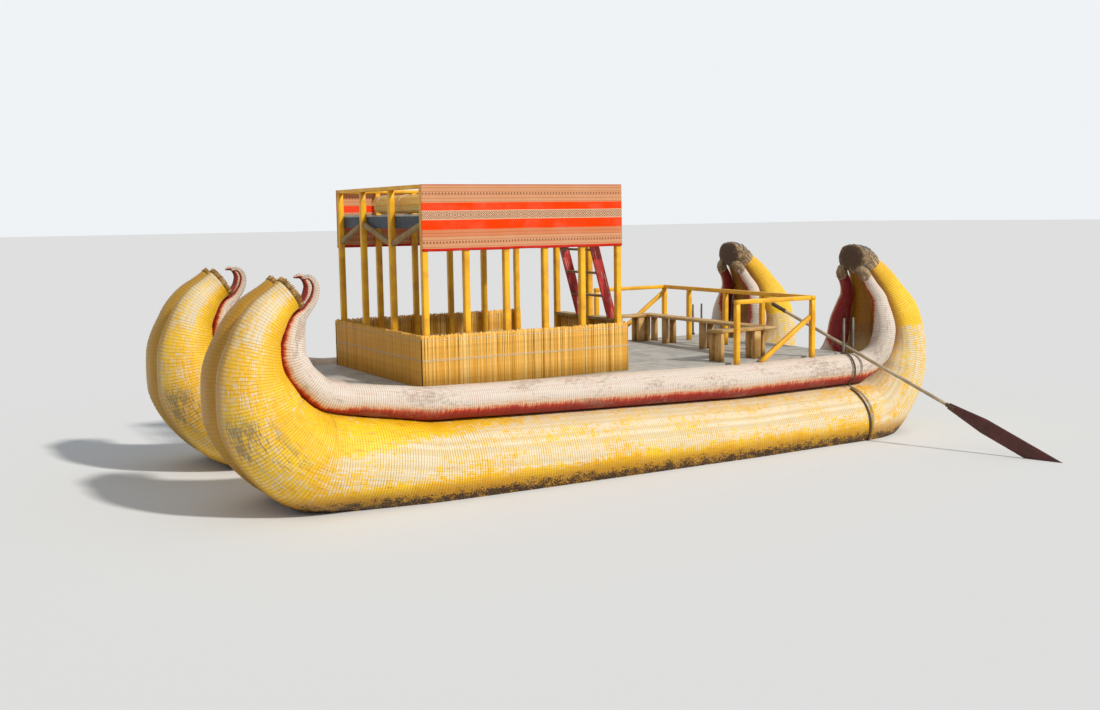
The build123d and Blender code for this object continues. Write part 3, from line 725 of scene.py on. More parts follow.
# %% Bow collars
STUB_RINGS = ((0.200, 96, 0.074, 0.046), (0.190, 88, 0.066, 0.050),
              (0.177, 76, 0.054, 0.052), (0.162, 64, 0.044, 0.050))
STUB_ROOT = 0.02


def bow_end(hull, side):
    """The bow end of a bundle: its centre, where it points, and the curve's hollow side."""
    x, z, heading = spine(*BOW_END)
    a = radians(heading)
    centre = Vector((x, hull * HULL_Y + side * OFFSET_AT[BOW_END], z))
    return centre, Vector((cos(a), 0, sin(a))), Vector((-sin(a), 0, cos(a)))


def collar(hull, side):
    """Stubs in rings. Where the twin bundle lies, they are left out."""
    centre, forward, inward = bow_end(hull, side)
    parts = []
    for ring, count, low, reach in STUB_RINGS:
        for k in range(count):
            b = (k + rng.uniform(-0.3, 0.3)) / count * tau
            if OFFSET_AT[BOW_END] + ring * cos(b) < 10 * MM:
                continue
            out = cos(b) * Vector((0, side, 0)) + sin(b) * inward
            length = STUB_ROOT + reach * rng.uniform(0.45, 1.0)
            lean = out * rng.uniform(-0.008, 0.010) + Vector(rng.uniform(-5, 5, 3)) * MM
            base = centre + out * ring + forward * (low - STUB_ROOT)
            parts.append(stub(base, base + forward * length + lean, rng.uniform(6.0, 8.5) * MM))
    return parts


stubs = [part for hull in (1, -1) for side in (1, -1) for part in collar(hull, side)]
thing = make("bow_collar_reeds", stubs, cut_totora, stands_for=["bow_collars"])
print(len(stubs), "stubs,", len(thing.data.polygons), "faces")

# %% [markdown]
# The hollow is a shallow cup inside the stubs, nearly black: painted shade, so that it reads as
# deep.

# %% Hollow of the collars
# Near-black painted shade, used in the collars' hollows and between the walls' reed layers.
painted_deep_shade, tree = new_material("near-black painted shade, hollows and wall cores")
place = add(tree, "TexCoord").outputs["Object"]
deep = add(tree, "TexNoise", {"Vector": place, "Scale": 60.0, "Detail": 4.0})
surface(tree, coats(tree, "#120C07", (deep, 1.0, "#3A2917")), 0.9, deep, 6 * MM)
CUP = ((0.190, 0.0), (0.190, 0.07), (0.150, 0.08), (0.125, 0.05), (0.02, 0.046))


def cup(hull, side):
    centre, forward, inward = bow_end(hull, side)
    return skin(np.array([[centre + forward * depth + radius * (
        cos(b) * Vector((0, side, 0)) + sin(b) * inward) for b in angles(40)]
        for radius, depth in CUP]))


thing = make("bow_collar_hollows", [cup(h, s) for h in (1, -1) for s in (1, -1)], painted_deep_shade)
print(thing.name, len(thing.data.polygons), "faces")

# %% [markdown]
# ## Stern caps
# The tips of each hull's bundles are wrapped together in old reed matting, grey-brown and
# shaggy, with turns of blue plastic rope, and the stern ends of the rolls are wrapped too. A wrap
# is a lumpy sleeve, and loose blades of reed laid over it give it the shaggy outline.

# %% Weathered matting
matting, tree = new_material("totora matting, weathered")
place = add(tree, "TexCoord").outputs["Object"]
coarse = add(tree, "TexNoise", {"Vector": place, "Scale": 22.0, "Detail": 6.0, "Roughness": 0.7})
strand = add(tree, "Mapping", {"Vector": place, "Scale": (30.0, 160.0, 60.0)})
fine = add(tree, "TexNoise", {"Vector": strand, "Scale": 1.0, "Detail": 4.0})
shade = add(tree, "ValToRGB", {0: coarse}, stops=[
    (0.30, "#94785A"), (0.46, "#C2A47C"), (0.68, "#E2CCA6")])
tone = add(tree, "Attribute", attribute_name="tone").outputs["Fac"]
# The tone darkens the matting: at random on the loose blades, evenly on the wraps, and as painted
# shade on the caps' fore faces.
colour = coats(tree, shade, (tone, 1.0, "#4E382A"), (fine, 0.5, "#5E4834"))
surface(tree, colour, 0.85, fine, 4 * MM)
print("nodes in the matting", len(tree.nodes))

# %% Caps on the bundles' tips
CAP = [(-4.475, 1.250, 0.300, 0.160, 46), (-4.351, 1.361, 0.308, 0.170, 36),
       (-4.278, 1.405, 0.304, 0.185, 24), (-4.215, 1.404, 0.286, 0.200, 10),
       (-4.186, 1.394, 0.262, 0.200, 0), (-4.172, 1.390, 0.170, 0.120, 0)]
CAP_ROWS, CAP_SIDES = 36, 72
CAP_FRONT_SHADE = ((0, 26, 30, 35), (0.05, 0.15, 0.9, 1.0))


def oval(half_width, half_thickness, segments):
    """Points of a flat-sided oval."""
    flat = half_width - half_thickness
    for k in range(segments):
        b = k / segments * tau
        yield flat * max(-1, min(1, 2.2 * cos(b))) + half_thickness * cos(b), \
            half_thickness * sin(b)


def cap(hull):
    rows = glide(np.arange(len(CAP)), CAP, np.linspace(0, len(CAP) - 1, CAP_ROWS))
    rings = np.zeros((CAP_ROWS, CAP_SIDES, 3))
    for i, (x, z, half_width, half_thickness, lean) in enumerate(rows):
        a = radians(lean)
        for j, (u, v) in enumerate(oval(half_width, half_thickness, CAP_SIDES)):
            rough = 0.95 + 0.06 * noise.noise((u * 12, v * 12, i * 0.5 + hull * 4))
            u, v = u * rough, v * rough
            rings[i, j] = x - v * sin(a), hull * HULL_Y + u, z + v * cos(a)
    return rings


cap_rings = {hull: cap(hull) for hull in (1, -1)}
thing = make("stern_cap_matting", [skin(rings) for rings in cap_rings.values()], matting,
             stands_for=["stern_caps"])
# Painted shade: the last rows, the cap's fore face turned away from the lamp, are darkened.
cap_front_shade = np.interp(np.arange(CAP_ROWS), *CAP_FRONT_SHADE)
mark(thing, "tone", np.tile(np.repeat(cap_front_shade, CAP_SIDES), 2))
print(thing.name, len(thing.data.polygons), "faces")

# %% Wraps on the rolls' ends
WRAP = [(135.5, 0.094, 0.245, 0.250), (139, 0.088, 0.228, 0.233), (142, 0.058, 0.195, 0.208)]


def wrap(hull, side, segments=36):
    rows = glide(np.arange(3), WRAP, np.linspace(0, 2, 22))
    rings = np.zeros((len(rows), segments, 3))
    for i, (turn, radius, offset, inward) in enumerate(rows):
        x, z, heading = spine("stern", turn)
        a = radians(heading)
        for j, b in enumerate(angles(segments)):
            r = radius * (0.94 + 0.12 * noise.noise((cos(b) * 2, sin(b) * 2, i * 0.35 + side)))
            u, v = offset + r * cos(b), inward + r * sin(b)
            rings[i, j] = (x - v * sin(a), hull * HULL_Y + side * u, z + v * cos(a))
    return rings


wrap_rings = [wrap(hull, side) for hull in (1, -1) for side in (1, -1)]
thing = make("roll_end_matting", [skin(r) for r in wrap_rings], matting,
             stands_for=["roll_end_wraps"], tone=[0.3] * 4)
print(thing.name, len(thing.data.polygons), "faces")

# %% [markdown]
# Loose blades lie on the wraps, nearly along them, each a thin flat strip that lifts a little
# at its ends. They follow the sleeve's own points, so none of them floats.

# %% Loose blades
def blade(rings, first, last, column, width):
    """A strip lying on a sleeve from one ring to another."""
    m = rings.shape[1]
    centre = rings.mean(1)
    line = []
    for i in range(first, last + 1):
        shift = int(round((i - first) * rng.uniform(-0.2, 0.2)))
        p = Vector(rings[i, (column + shift) % m])
        lift = 3 * MM + (5 * MM if i in (first, last) else 0)
        line.append(p + (p - Vector(centre[i])).normalized() * lift)
    across = (line[-1] - line[0]).cross(line[0] - Vector(centre[first])).normalized()
    out = (line[0] - Vector(centre[first])).normalized()
    return skin(np.array([[p - across * width, p + out * 2 * MM, p + across * width,
                           p - out * MM] for p in line]))


blades = []
for rings, count in [(r, 190) for r in cap_rings.values()] + [(r, 46) for r in wrap_rings]:
    for _ in range(count):
        first = int(rng.integers(0, len(rings) - 9))
        last = min(len(rings) - 1, first + int(rng.integers(6, 14)))
        blades.append(blade(rings, first, last, int(rng.integers(rings.shape[1])),
                            rng.uniform(3, 6) * MM))
thing = make("stern_loose_blades", blades, matting, tone=0.6 * rng.random(len(blades)))
print(len(blades), "blades")

# %% [markdown]
# A laid rope is three strands twisted together, and drawing the strands is what keeps it from
# looking like a pipe. Polypropylene is smooth and a little glossy, cotton and plant fibre are
# matt, and each shows fine threads along its strands.

# %% Laid rope, and blue turns on the caps
def rope_ring(points, radius, strands=3, twist=55.0, sides=6):
    """A laid rope along a line of points: strands twisted round it."""
    points = [Vector(p) for p in points]
    parts = []
    for strand in range(strands):
        rings, run = [], 0.0
        for i, p in enumerate(points):
            before, after = points[max(0, i - 1)], points[min(len(points) - 1, i + 1)]
            run += (p - points[i - 1]).length if i else 0
            way = (after - before).normalized()
            side = way.cross(Vector((0.13, 0.21, 0.97))).normalized()
            top = side.cross(way)
            a = run * twist + strand / strands * tau
            middle = p + radius * 0.46 * (cos(a) * side + sin(a) * top)
            rings.append([middle + radius * 0.54 * (cos(b) * side + sin(b) * top)
                          for b in angles(sides)])
        parts.append(skin(np.array(rings), width=tau * radius / 2))
    return parts


def cordage(name, light, dark, rough, depth, along, across, detail=2.0):
    """Rope or cord: threads of two tones along its surface map, and how deep they lie."""
    material, tree = new_material(name)
    threads = fibres(tree, along, across, detail)
    surface(tree, coats(tree, light, (threads, 1.0, dark)), rough, threads, depth)
    return material


blue_rope = cordage("polypropylene rope, blue", "#1F5FA0", "#4D8FC4", 0.45, 0.5 * MM, 300, 900)
BLUE_TURNS = ((14, 3, 30), (15, 40, 66), (20, 8, 36))
turns = []
for rings in cap_rings.values():
    for row, start, stop in BLUE_TURNS:
        centre = rings[row].mean(0)
        line = []
        for k in range(start, stop):
            out = rings[row, k % CAP_SIDES] - centre
            line.append(rings[row + (k % 3 == 0), k % CAP_SIDES] + 7 * MM * out
                        / np.linalg.norm(out))
        turns += rope_ring(line, 6 * MM)
thing = make("stern_blue_rope", turns, blue_rope)
print(thing.name, len(thing.data.polygons), "faces")

# %% [markdown]
# ## Timber
# The deck's structure, the cabin and the rails are sawn eucalyptus, brushed with oil paint. On
# sawn timber the paint is satin and uneven: grain shows as fine dark lines along each piece, and
# the paint is rubbed through in patches that show bare wood.

# %% Painted timber
def painted_timber(name, light, dark, bare, wear, rough=0.5):
    """Timber with a light and a dark tone, bare where it is worn. wear runs from 0 to 1."""
    material, tree = new_material(name)
    place = add(tree, "UVMap", uv_map="surface")
    tone = add(tree, "Attribute", attribute_name="tone").outputs["Fac"]
    jump = add(tree, "Math", {0: tone, 1: 37.0}, operation="MULTIPLY")
    moved = add(tree, "VectorMath", {0: place, 1: jump}, operation="ADD")
    grain = add(tree, "Mapping", {"Vector": moved, "Scale": (3.0, 110.0, 1.0)})
    lines = add(tree, "TexNoise", {"Vector": grain, "Scale": 1.0, "Detail": 6.0,
                                   "Roughness": 0.65})
    broad = blotches(tree, moved, 4.0, 0.35, 0.70)
    worn = blotches(tree, grain, 0.8, 0.64 - 0.16 * wear, 0.74 - 0.10 * wear, 6.0)
    rubbed = blotches(tree, moved, 7.0, 0.42, 0.62)
    rubbed = add(tree, "Math", {0: worn, 1: rubbed}, operation="MULTIPLY")
    colour = coats(tree, light, (broad, 1.0, dark), (lines, 0.30, dark), (rubbed, 1.0, bare))
    shine = add(tree, "MapRange", {"Value": worn, "To Min": rough, "To Max": 0.8})
    surface(tree, colour, shine, lines, 1.2 * MM)
    return material


yellow_timber = painted_timber("eucalyptus, yellow oil paint",
                               "#FFC218", "#DB9A10", "#B98A42", 0.35)
ochre_timber = painted_timber("eucalyptus, weathered ochre",
                              "#A98B54", "#7C6236", "#8F8470", 0.8, 0.7)
grey_boards = painted_timber("pine boards, pale grey paint",
                             "#BDBBB5", "#9C9A94", "#8C7D66", 0.7, 0.65)
red_timber = painted_timber("pine board, red paint", "#C42A26", "#96201C", "#E2D2C8", 0.9)
bare_timber = painted_timber("eucalyptus, bare and weathered",
                             "#A98D64", "#7C6444", "#94897A", 0.8, 0.75)
seat_timber = painted_timber("pine plank, worn smooth",
                             "#CFA766", "#A07636", "#E0C79C", 0.7, 0.55)
silver_pole = painted_timber("eucalyptus pole, silvered",
                             "#8B867D", "#5F5A52", "#A9A49A", 0.8, 0.8)
print("timber finishes:", sum("eucalyptus" in m.name or "pine" in m.name
                              for m in bpy.data.materials))

# %% [markdown]
# A sawn piece is a rounded rectangle drawn out along a line. Its corners are eased by 4 mm and
# its sides waver by a millimetre, which is what separates timber from a perfect box.

# %% Sawn pieces
def section(width, depth, ease=4 * MM):
    """Corner-eased rectangle, as across and up pairs."""
    w, d = width / 2, depth / 2
    return [(w - ease, -d), (w, ease - d), (w, d - ease), (w - ease, d),
            (ease - w, d), (-w, d - ease), (-w, ease - d), (ease - w, -d)]


def circle(radius, sides=14):
    return [(radius * cos(a), radius * sin(a)) for a in angles(sides)]


def piece(start, end, outline, facing=(0, 0, 1), waver=0.8 * MM, taper=1.0):
    """A stick from start to end; facing is the way its outline's second direction points."""
    start, end = Vector(start), Vector(end)
    way = (end - start).normalized()
    side = way.cross(Vector(facing)).normalized()
    top = side.cross(way)
    count = max(3, int((end - start).length / 0.12) + 1)
    seed = rng.uniform(0, 100)
    rings = []
    for i in range(count):
        share = i / (count - 1)
        size = 1 + (taper - 1) * share
        near = min(share, 1 - share)
        size *= 1 if near > 0 else 1 - 2 * MM / max(abs(c) for p in outline for c in p)
        drift = waver * noise.noise_vector((seed, share * 4, 0))
        centre = start.lerp(end, share)
        rings.append([centre + (u * size + drift.x) * side + (v * size + drift.y) * top
                      for u, v in outline])
    return skin(np.array(rings))


POST = 0.075


def post(x, y, low, high, size=POST):
    return piece((x, y, low), (x, y, high), section(size, size), (1, 0, 0))


print("a post has", len(post(0, 0, 0, 1)[1]), "faces")

# %% [markdown]
# ## Deck
# The deck is of boards laid lengthwise on the crossbeams, in worn pale grey paint, and its
# outer boards are cut to the line of the rolls. That line is read from the deck's own frame
# piece, so the boards fit it.

# %% Deck boards
edge = sorted({(round(v.co.x, 4), round(v.co.y, 4)) for v in frame["nodes"]["deck"].data.vertices
               if v.co.y > 0})
edge_x, edge_y = (np.array(c) for c in zip(*edge))
BEYOND = 9.0


def board(y0, y1, x0, x1, low, high, limit=None, gap=4 * MM, stations=60):
    """A board lengthwise between y0 and y1, cut to a line where it meets one."""
    xs = np.linspace(x0, x1, stations)
    reach = np.full(stations, BEYOND) if limit is None else np.interp(xs, *limit)
    seed = rng.uniform(0, 50)
    rings = []
    for x, far in zip(xs, reach):
        lift = 0.8 * MM * noise.noise((x, seed, 0)) - 0.8 * MM
        a, b = (max(-far, min(far, y)) for y in (y0 + gap / 2, y1 - gap / 2))
        rings.append([(x, a, low), (x, b, low), (x, b, high - 2 * MM + lift),
                      (x, b - 2 * MM, high + lift), (x, a + 2 * MM, high + lift),
                      (x, a, high - 2 * MM + lift)])
    return skin(np.array(rings), width=0.4)


lines = [-BEYOND, *np.arange(-1.61, 1.62, 0.1789), BEYOND]
boards = [board(a, b, -3.8, 3.75, -0.03, 0, (edge_x, edge_y)) for a, b in zip(lines, lines[1:])]
thing = make("deck_boards", boards, grey_boards, stands_for=["deck"], smooth=False)
print(len(boards), "deck boards")

# %% [markdown]
# The crossbeams, joists, side beams, sill and fascias keep their frame pieces, which have the
# right shape. They get an eased edge from a bevel modifier and their own finish. A frame piece
# has no surface map, so like patterns are drawn on its place in metres.

# %% Timber that keeps its frame piece
def ease_edges(thing, width):
    ease = thing.modifiers.new("eased edges", "BEVEL")
    ease.width, ease.segments, ease.limit_method = width, 2, "ANGLE"


def dress(node, light, dark, bare, stretch, name):
    """A frame piece in brushed timber, with grain along its length."""
    material, tree = new_material(name)
    place = add(tree, "TexCoord").outputs["Object"]
    grain = add(tree, "Mapping", {"Vector": place, "Scale": stretch})
    lines = add(tree, "TexNoise", {"Vector": grain, "Scale": 1.0, "Detail": 6.0})
    colour = coats(tree, light, (blotches(tree, place, 4.0, 0.35, 0.7), 1.0, dark),
                   (blotches(tree, grain, 0.9, 0.58, 0.70), 1.0, bare))
    surface(tree, colour, 0.65, lines, 1.2 * MM)
    thing = frame["nodes"][node]
    thing.data.materials.clear()
    thing.data.materials.append(material)
    ease_edges(thing, 4 * MM)


ALONG_X, ALONG_Y = (3, 110, 110), (110, 3, 110)
for node, stretch in (("crossbeams", ALONG_Y), ("platform_joists", ALONG_Y),
                      ("side_beams", ALONG_X), ("aft_sill", ALONG_Y)):
    dress(node, "#B89B5A", "#8A6E3C", "#94897A", stretch, f"eucalyptus, ochre, {node}")
dress("platform_fascias", "#3C4652", "#2A323C", "#6D6A62", ALONG_Y, "dark blue-grey fascia")
print("dressed", [o.name for o in frame["nodes"].values() if o.modifiers])

# %% [markdown]
# ## Cabin
# Sixteen square posts carry a rail round the top, with a boarded platform below it and zigzag
# knee braces at the fore end. Everything is made from the same sawn piece.

# %% Posts, top rail and braces
LENGTH, HALF = 2.914, 1.456
RAIL_MIDDLE, RAIL_THICK = 2.4742, 0.05
h = POST / 2
fore_aft = (h, LENGTH - h)
sides = (HALF - h, h - HALF)
places = [(x, y) for x in (*fore_aft, 0.605, 1.172, 1.742, 2.309) for y in sides]
places += [(LENGTH - h, -0.560), (LENGTH - h, 0.430), (h, -0.190), (h, 0.700)]
make("cabin_posts_sawn", [post(x, y, 0, 2.45) for x, y in places], yellow_timber,
     stands_for=["cabin_posts"])

ends = [((0, y), (LENGTH, y)) for y in sides]
ends += [((x, POST - HALF), (x, HALF - POST)) for x in fore_aft]
rails = [piece((*a, RAIL_MIDDLE), (*b, RAIL_MIDDLE), section(POST, RAIL_THICK)) for a, b in ends]
make("top_rail_sawn", rails, yellow_timber, stands_for=["top_rail"])

corners = (h - HALF, -0.560, 0.430, HALF - h)
heights = (1.800, 2.050, 1.800, 2.050)
braces = [piece((LENGTH - h, y0 + h, z0 - 0.035), (LENGTH - h, y1 - h, z1 - 0.035),
                section(0.055, 0.068))
          for y0, y1, z0, z1 in zip(corners, corners[1:], heights, heights[1:])]
make("knee_braces_sawn", braces, ochre_timber, stands_for=["knee_braces"])
print(len(places), "posts,", len(rails), "rails,", len(braces), "braces")

# %% Platform boards
lines = [-1.381, *np.linspace(-1.205, 0.38, 10)]
UNDERSIDE, FLOOR, HATCH_END = 2.115, 2.14, 0.515
boards = [board(a, b, POST, LENGTH - POST, UNDERSIDE, FLOOR) for a, b in zip(lines, lines[1:])]
lines = np.linspace(0.38, 1.335, 6)
boards += [board(a, b, HATCH_END, LENGTH - POST, UNDERSIDE, FLOOR)
           for a, b in zip(lines, lines[1:])]
boards.append(board(1.335, 1.381, POST, LENGTH - POST, UNDERSIDE, FLOOR))
make("platform_boards_laid", boards, grey_boards, stands_for=["platform_boards"], smooth=False)
print(len(boards), "platform boards")

# %% [markdown]
# ## Reed-mat walls
# The walls are upright golden reeds sewn together with white cord, in rows at half height and
# near the top, and cut off unevenly along the top edge. Each reed is its own slim tube, 15 mm
# across, with its own tone, because the tone is what makes the wall look like reed and not
# like ribbed board. A dark board behind the two layers stops light between them, and its
# near-black colour is painted shade.

# %% Golden reed
golden_reed, tree = new_material("totora reed, dried golden")
WALL_REED = 15 * MM
place = add(tree, "UVMap", uv_map="surface")
tone = add(tree, "Attribute", attribute_name="tone").outputs["Fac"]
fine = fibres(tree, 6.0, 420.0, 4.0)
reed_tone = add(tree, "ValToRGB", {0: tone}, stops=[
    (0.0, "#C88E2C"), (0.15, "#ECB244"), (0.50, "#F6C252"), (0.85, "#FFD06A"),
    (1.0, "#FFE49C")])
ticks = add(tree, "Mapping", {"Vector": place, "Scale": (17.0, 260.0, 1.0)})
spots = blotches(tree, ticks, 1.0, 0.57, 0.66)
surface(tree, coats(tree, reed_tone, (spots, 0.70, "#8A5A22")), 0.55, fine, 0.8 * MM)


def reed_row(start, end, low, high, out, radius=WALL_REED / 2, sides=6):
    """Upright reeds side by side from start to end, x and y."""
    start, end, out = Vector((*start, 0)), Vector((*end, 0)), Vector((*out, 0))
    count = int((end - start).length / (2 * radius))
    parts = []
    for k in range(count):
        foot = start.lerp(end, (k + 0.5) / count)
        size = radius * rng.uniform(0.94, 1.12)
        tall = high - abs(rng.normal(0, 0.014))
        lean = (end - start).normalized() * rng.uniform(-4, 4) * MM
        rings = []
        for share in (0, 0.35, 0.7, 1):
            p = foot + lean * share + Vector((0, 0, low + (tall - low) * share))
            p += out * rng.uniform(-1, 1) * MM
            rings.append([p + size * (1 - 0.1 * share) * (
                cos(a) * (end - start).normalized() + sin(a) * out) for a in angles(sides)])
        parts.append(skin(np.array(rings), width=tau * size))
    return parts


print("one wall has about", int(3.04 / WALL_REED), "reeds in a layer")

# %% [markdown]
# The sewing cord runs in front of each reed and dips between them, so it is drawn as a thin
# tube that bobs at the reeds' spacing.

# %% Walls and their sewing
sewing_cord = cordage("cotton cord, off-white", "#F2EDE0", "#C9BFA8", 0.8, 0.5 * MM, 500, 500)


def sewing(start, end, z, out, radius=2.6 * MM):
    start, end, out = Vector((*start, z)), Vector((*end, z)), Vector((*out, 0))
    count = int((end - start).length / WALL_REED) * 2
    seed = rng.uniform(0, 90)
    rings = []
    for k in range(count + 1):
        p = start.lerp(end, k / count) + out * (2.5 * MM if k % 2 else -0.5 * MM)
        p.z += 5 * MM * noise.noise((k * 0.03, seed, 0))
        rings.append([p + radius * (cos(a) * out + sin(a) * Vector((0, 0, 1)))
                      for a in (0, tau / 4, tau / 2, tau * 3 / 4)])
    return skin(np.array(rings), width=tau * radius)


OUT, IN, WALL_TOP, DOORWAY = 1.520, 1.460, 0.660, -0.23
FORE_OUT, FORE_IN, AFT_OUT, AFT_IN = 2.978, 2.918, -0.064, -0.004
SEAMS = (0.335, 0.350, 0.590)
CORE = section(0.020, 0.60)
r = WALL_REED / 2
WALLS = {
    "wall_port": ((AFT_OUT, OUT - r), (FORE_OUT, OUT - r), (AFT_OUT, IN + r), (FORE_OUT, IN + r),
                  (0, 1)),
    "wall_starboard": ((AFT_OUT, r - OUT), (FORE_OUT, r - OUT), (AFT_OUT, -IN - r),
                       (FORE_OUT, -IN - r), (0, -1)),
    "wall_fore": ((FORE_OUT - r, IN), (FORE_OUT - r, -IN), (FORE_IN + r, IN), (FORE_IN + r, -IN),
                  (1, 0)),
    "wall_aft": ((AFT_OUT + r, IN), (AFT_OUT + r, DOORWAY), (AFT_IN - r, IN),
                 (AFT_IN - r, DOORWAY), (-1, 0))}
for node, (a, b, c, d, out) in WALLS.items():
    parts = reed_row(a, b, 0, WALL_TOP + 4 * MM, out) + reed_row(c, d, 0, WALL_TOP - 6 * MM, out)
    # The fore wall faces away from the lamp, and its reeds take only the darker tones: painted
    # shade.
    shade_ceiling = 0.3 if node == "wall_fore" else 1.0
    thing = make(node + "_reeds", parts, golden_reed, stands_for=[node],
                 tone=rng.random(len(parts)) * shade_ceiling)
    back = tuple(-v for v in out)
    outer, inner = ([tuple(v + w * (r + MM) for v, w in zip(p, away)) for p in pair]
                    for pair, away in (((a, b), out), ((c, d), back)))
    cords = [sewing(*pair, z, away) for pair, away in ((outer, out), (inner, back))
             for z in SEAMS]
    make(node + "_sewing", cords, sewing_cord)
    # The core's near-black colour is painted shade between the two layers of reed.
    core = piece((*((Vector(a) + Vector(c)) / 2), 0.31), (*((Vector(b) + Vector(d)) / 2), 0.31),
                 CORE)
    make(node + "_shade_core", [core], painted_deep_shade)
    print(thing.name, len(parts), "reeds")

# %% [markdown]
# ## Striped cloths
# Two woollen cloths hang outside the top rail, one each side: bands of orange-red and of peach
# with fine stripes, dotted rows and a row of diamonds, as such cloths are woven. Wool is matt,
# and its ribs run along the bands, 6 mm wide here, a little coarser than the real ones, so that
# they show. The pattern is drawn by height on the cloth, measured in metres from its top.

# %% Woven wool: bands and pin stripes
wool, tree = new_material("woven wool, striped")
WIDTH, DROP = 2.93, 0.82
place = add(tree, "UVMap", uv_map="surface")
along, fall = add(tree, "SeparateXYZ", {0: place}).outputs[:2]
down = add(tree, "Math", {0: fall, 1: DROP}, operation="DIVIDE")
bands = add(tree, "ValToRGB", {0: down}, stops=[
    (0.0, "#B8502E"), (0.015, "#D49B72"), (0.27, "#FA3E00"), (0.39, "#D9B491"),
    (0.53, "#FA3E00"), (0.675, "#D4845A"), (0.78, "#D49B72"), (0.955, "#CC2410")])
bands.color_ramp.interpolation = "CONSTANT"
pin = add(tree, "Math", {0: down, 1: 0.026}, operation="PINGPONG")
pin = add(tree, "Math", {0: pin, 1: 0.006}, operation="LESS_THAN")
plain = add(tree, "ValToRGB", {0: down}, stops=[
    (0.0, "#FFFFFF"), (0.27, "#000000"), (0.675, "#FFFFFF"), (0.955, "#000000")])
plain.color_ramp.interpolation = "CONSTANT"
pin = add(tree, "Math", {0: pin, 1: plain}, operation="MULTIPLY")
print("bands", len(bands.color_ramp.elements))

# %% Woven wool: diamonds, dots and ribs
across = add(tree, "Math", {0: along, 1: 0.055}, operation="PINGPONG")
rise = add(tree, "Math", {0: down, 1: 0.46}, operation="SUBTRACT")
rise = add(tree, "Math", {0: rise}, operation="ABSOLUTE")
slant = add(tree, "Math", {0: rise, 1: DROP, 2: across}, operation="MULTIPLY_ADD")
diamond = add(tree, "Math", {0: slant, 1: 0.014}, operation="PINGPONG")
stripe = add(tree, "Math", {0: diamond, 1: 0.0062}, operation="LESS_THAN")
row = add(tree, "Math", {0: rise, 1: 0.058}, operation="LESS_THAN")
stripe = add(tree, "Math", {0: stripe, 1: row}, operation="MULTIPLY")
woven_in = [(pin, 0.55, "#B9583C"), (stripe, 0.85, "#7C3626")]
for level in (0.135, 0.865):
    near = add(tree, "Math", {0: down, 1: level}, operation="SUBTRACT")
    near = add(tree, "Math", {0: near}, operation="ABSOLUTE")
    near = add(tree, "Math", {0: near, 1: 0.013}, operation="LESS_THAN")
    step = add(tree, "Math", {0: along, 1: 0.022}, operation="PINGPONG")
    dot = add(tree, "Math", {0: step, 1: 0.010}, operation="LESS_THAN")
    dot = add(tree, "Math", {0: near, 1: dot}, operation="MULTIPLY")
    woven_in.append((dot, 0.8, "#6E3324"))
woven_in.append((blotches(tree, place, 2.5, 0.40, 0.75), 0.08, "#F3D9C4"))
RIB, YARN = 6 * MM, 5 * MM
rib = add(tree, "Math", {0: fall, 1: RIB / 2}, operation="PINGPONG")
yarn = add(tree, "Math", {0: along, 1: YARN / 2}, operation="PINGPONG")
relief = add(tree, "Math", {0: rib, 1: yarn}, operation="ADD")
relief = add(tree, "Math", {0: relief, 1: 180.0}, operation="MULTIPLY")
surface(tree, coats(tree, bands, *woven_in), 0.9, relief, 1 * MM, **{"Specular IOR Level": 0.1})
print("ribs", RIB / MM, "mm wide")

# %% [markdown]
# The cloth is one sheet with a thickness of 3 mm. It hangs straight from the rail, so its folds
# are shallow: slow waves that grow towards the free lower edge.

# %% Hanging cloths
HUNG_FROM = 2.498


def cloth(side, columns=150, rows=40):
    u, v = np.meshgrid(np.linspace(0, 1, columns), np.linspace(0, 1, rows))
    u, v = u.ravel(), v.ravel()
    wave = np.array([noise.noise((a * 6.5, b * 1.2, side * 3)) for a, b in zip(u, v)])
    hem = np.array([noise.noise((a * 5, side * 9, 0)) for a in u])
    x = -0.006 + (WIDTH - 4 * MM) * u
    y = side * (HALF + 2.5 * MM + v * 9 * MM + 8 * MM * v * wave)
    z = HUNG_FROM - (DROP - 5 * MM) * v + 9 * MM * hem * v
    i, j = np.meshgrid(np.arange(rows - 1), np.arange(columns - 1), indexing="ij")
    i, j = i.ravel(), j.ravel()
    faces = np.stack([i * columns + j, i * columns + j + 1, (i + 1) * columns + j + 1,
                      (i + 1) * columns + j], 1)
    faces = faces if side < 0 else faces[:, ::-1]
    flat = np.stack([u * WIDTH, v * DROP], 1)
    return np.stack([x, y, z], 1), [tuple(f) for f in faces.tolist()], flat[faces]


for side, name in ((1, "port"), (-1, "starboard")):
    thing = make(f"cloth_{name}_wool", [cloth(side)], wool, stands_for=[f"cloth_{name}"])
    body = thing.modifiers.new("thickness", "SOLIDIFY")
    body.thickness, body.offset = 3 * MM, 0
    print(thing.name, WIDTH, "by", DROP, "m")

# %% [markdown]
# ## The rolled mat
# A spare reed mat lies rolled on the platform, its reeds along the roll and its ends fringed
# where the reeds were never cut to length. Reeds are set along a spiral, since that is what
# shows at the ends, and three ties hold it.

# %% Rolled mat
def rolled_mat(x, z, start, end, outside, radius=7 * MM):
    """Reeds that lie across the boat, set along a spiral from the outside in."""
    parts, a = [], 0.0
    while True:
        ring = outside - radius - a / tau * 2.1 * radius
        if ring < 0.03:
            return parts
        middle = Vector((x + ring * cos(a), 0, z + ring * sin(a)))
        ends = [start + rng.uniform(-0.01, 0.05), end - rng.uniform(-0.01, 0.05)]
        bow = Vector((*rng.uniform(-2, 2, 2), 0)) * MM
        rings = []
        for share in (0, 0.3, 0.7, 1):
            at = middle + bow * sin(share * pi)
            at = at + Vector((0, ends[0] + (ends[1] - ends[0]) * share, 0))
            rings.append([at + radius * Vector((cos(b), 0, sin(b))) for b in angles(6)])
        parts.append(skin(np.array(rings), width=tau * radius))
        a += 2.05 * radius / ring


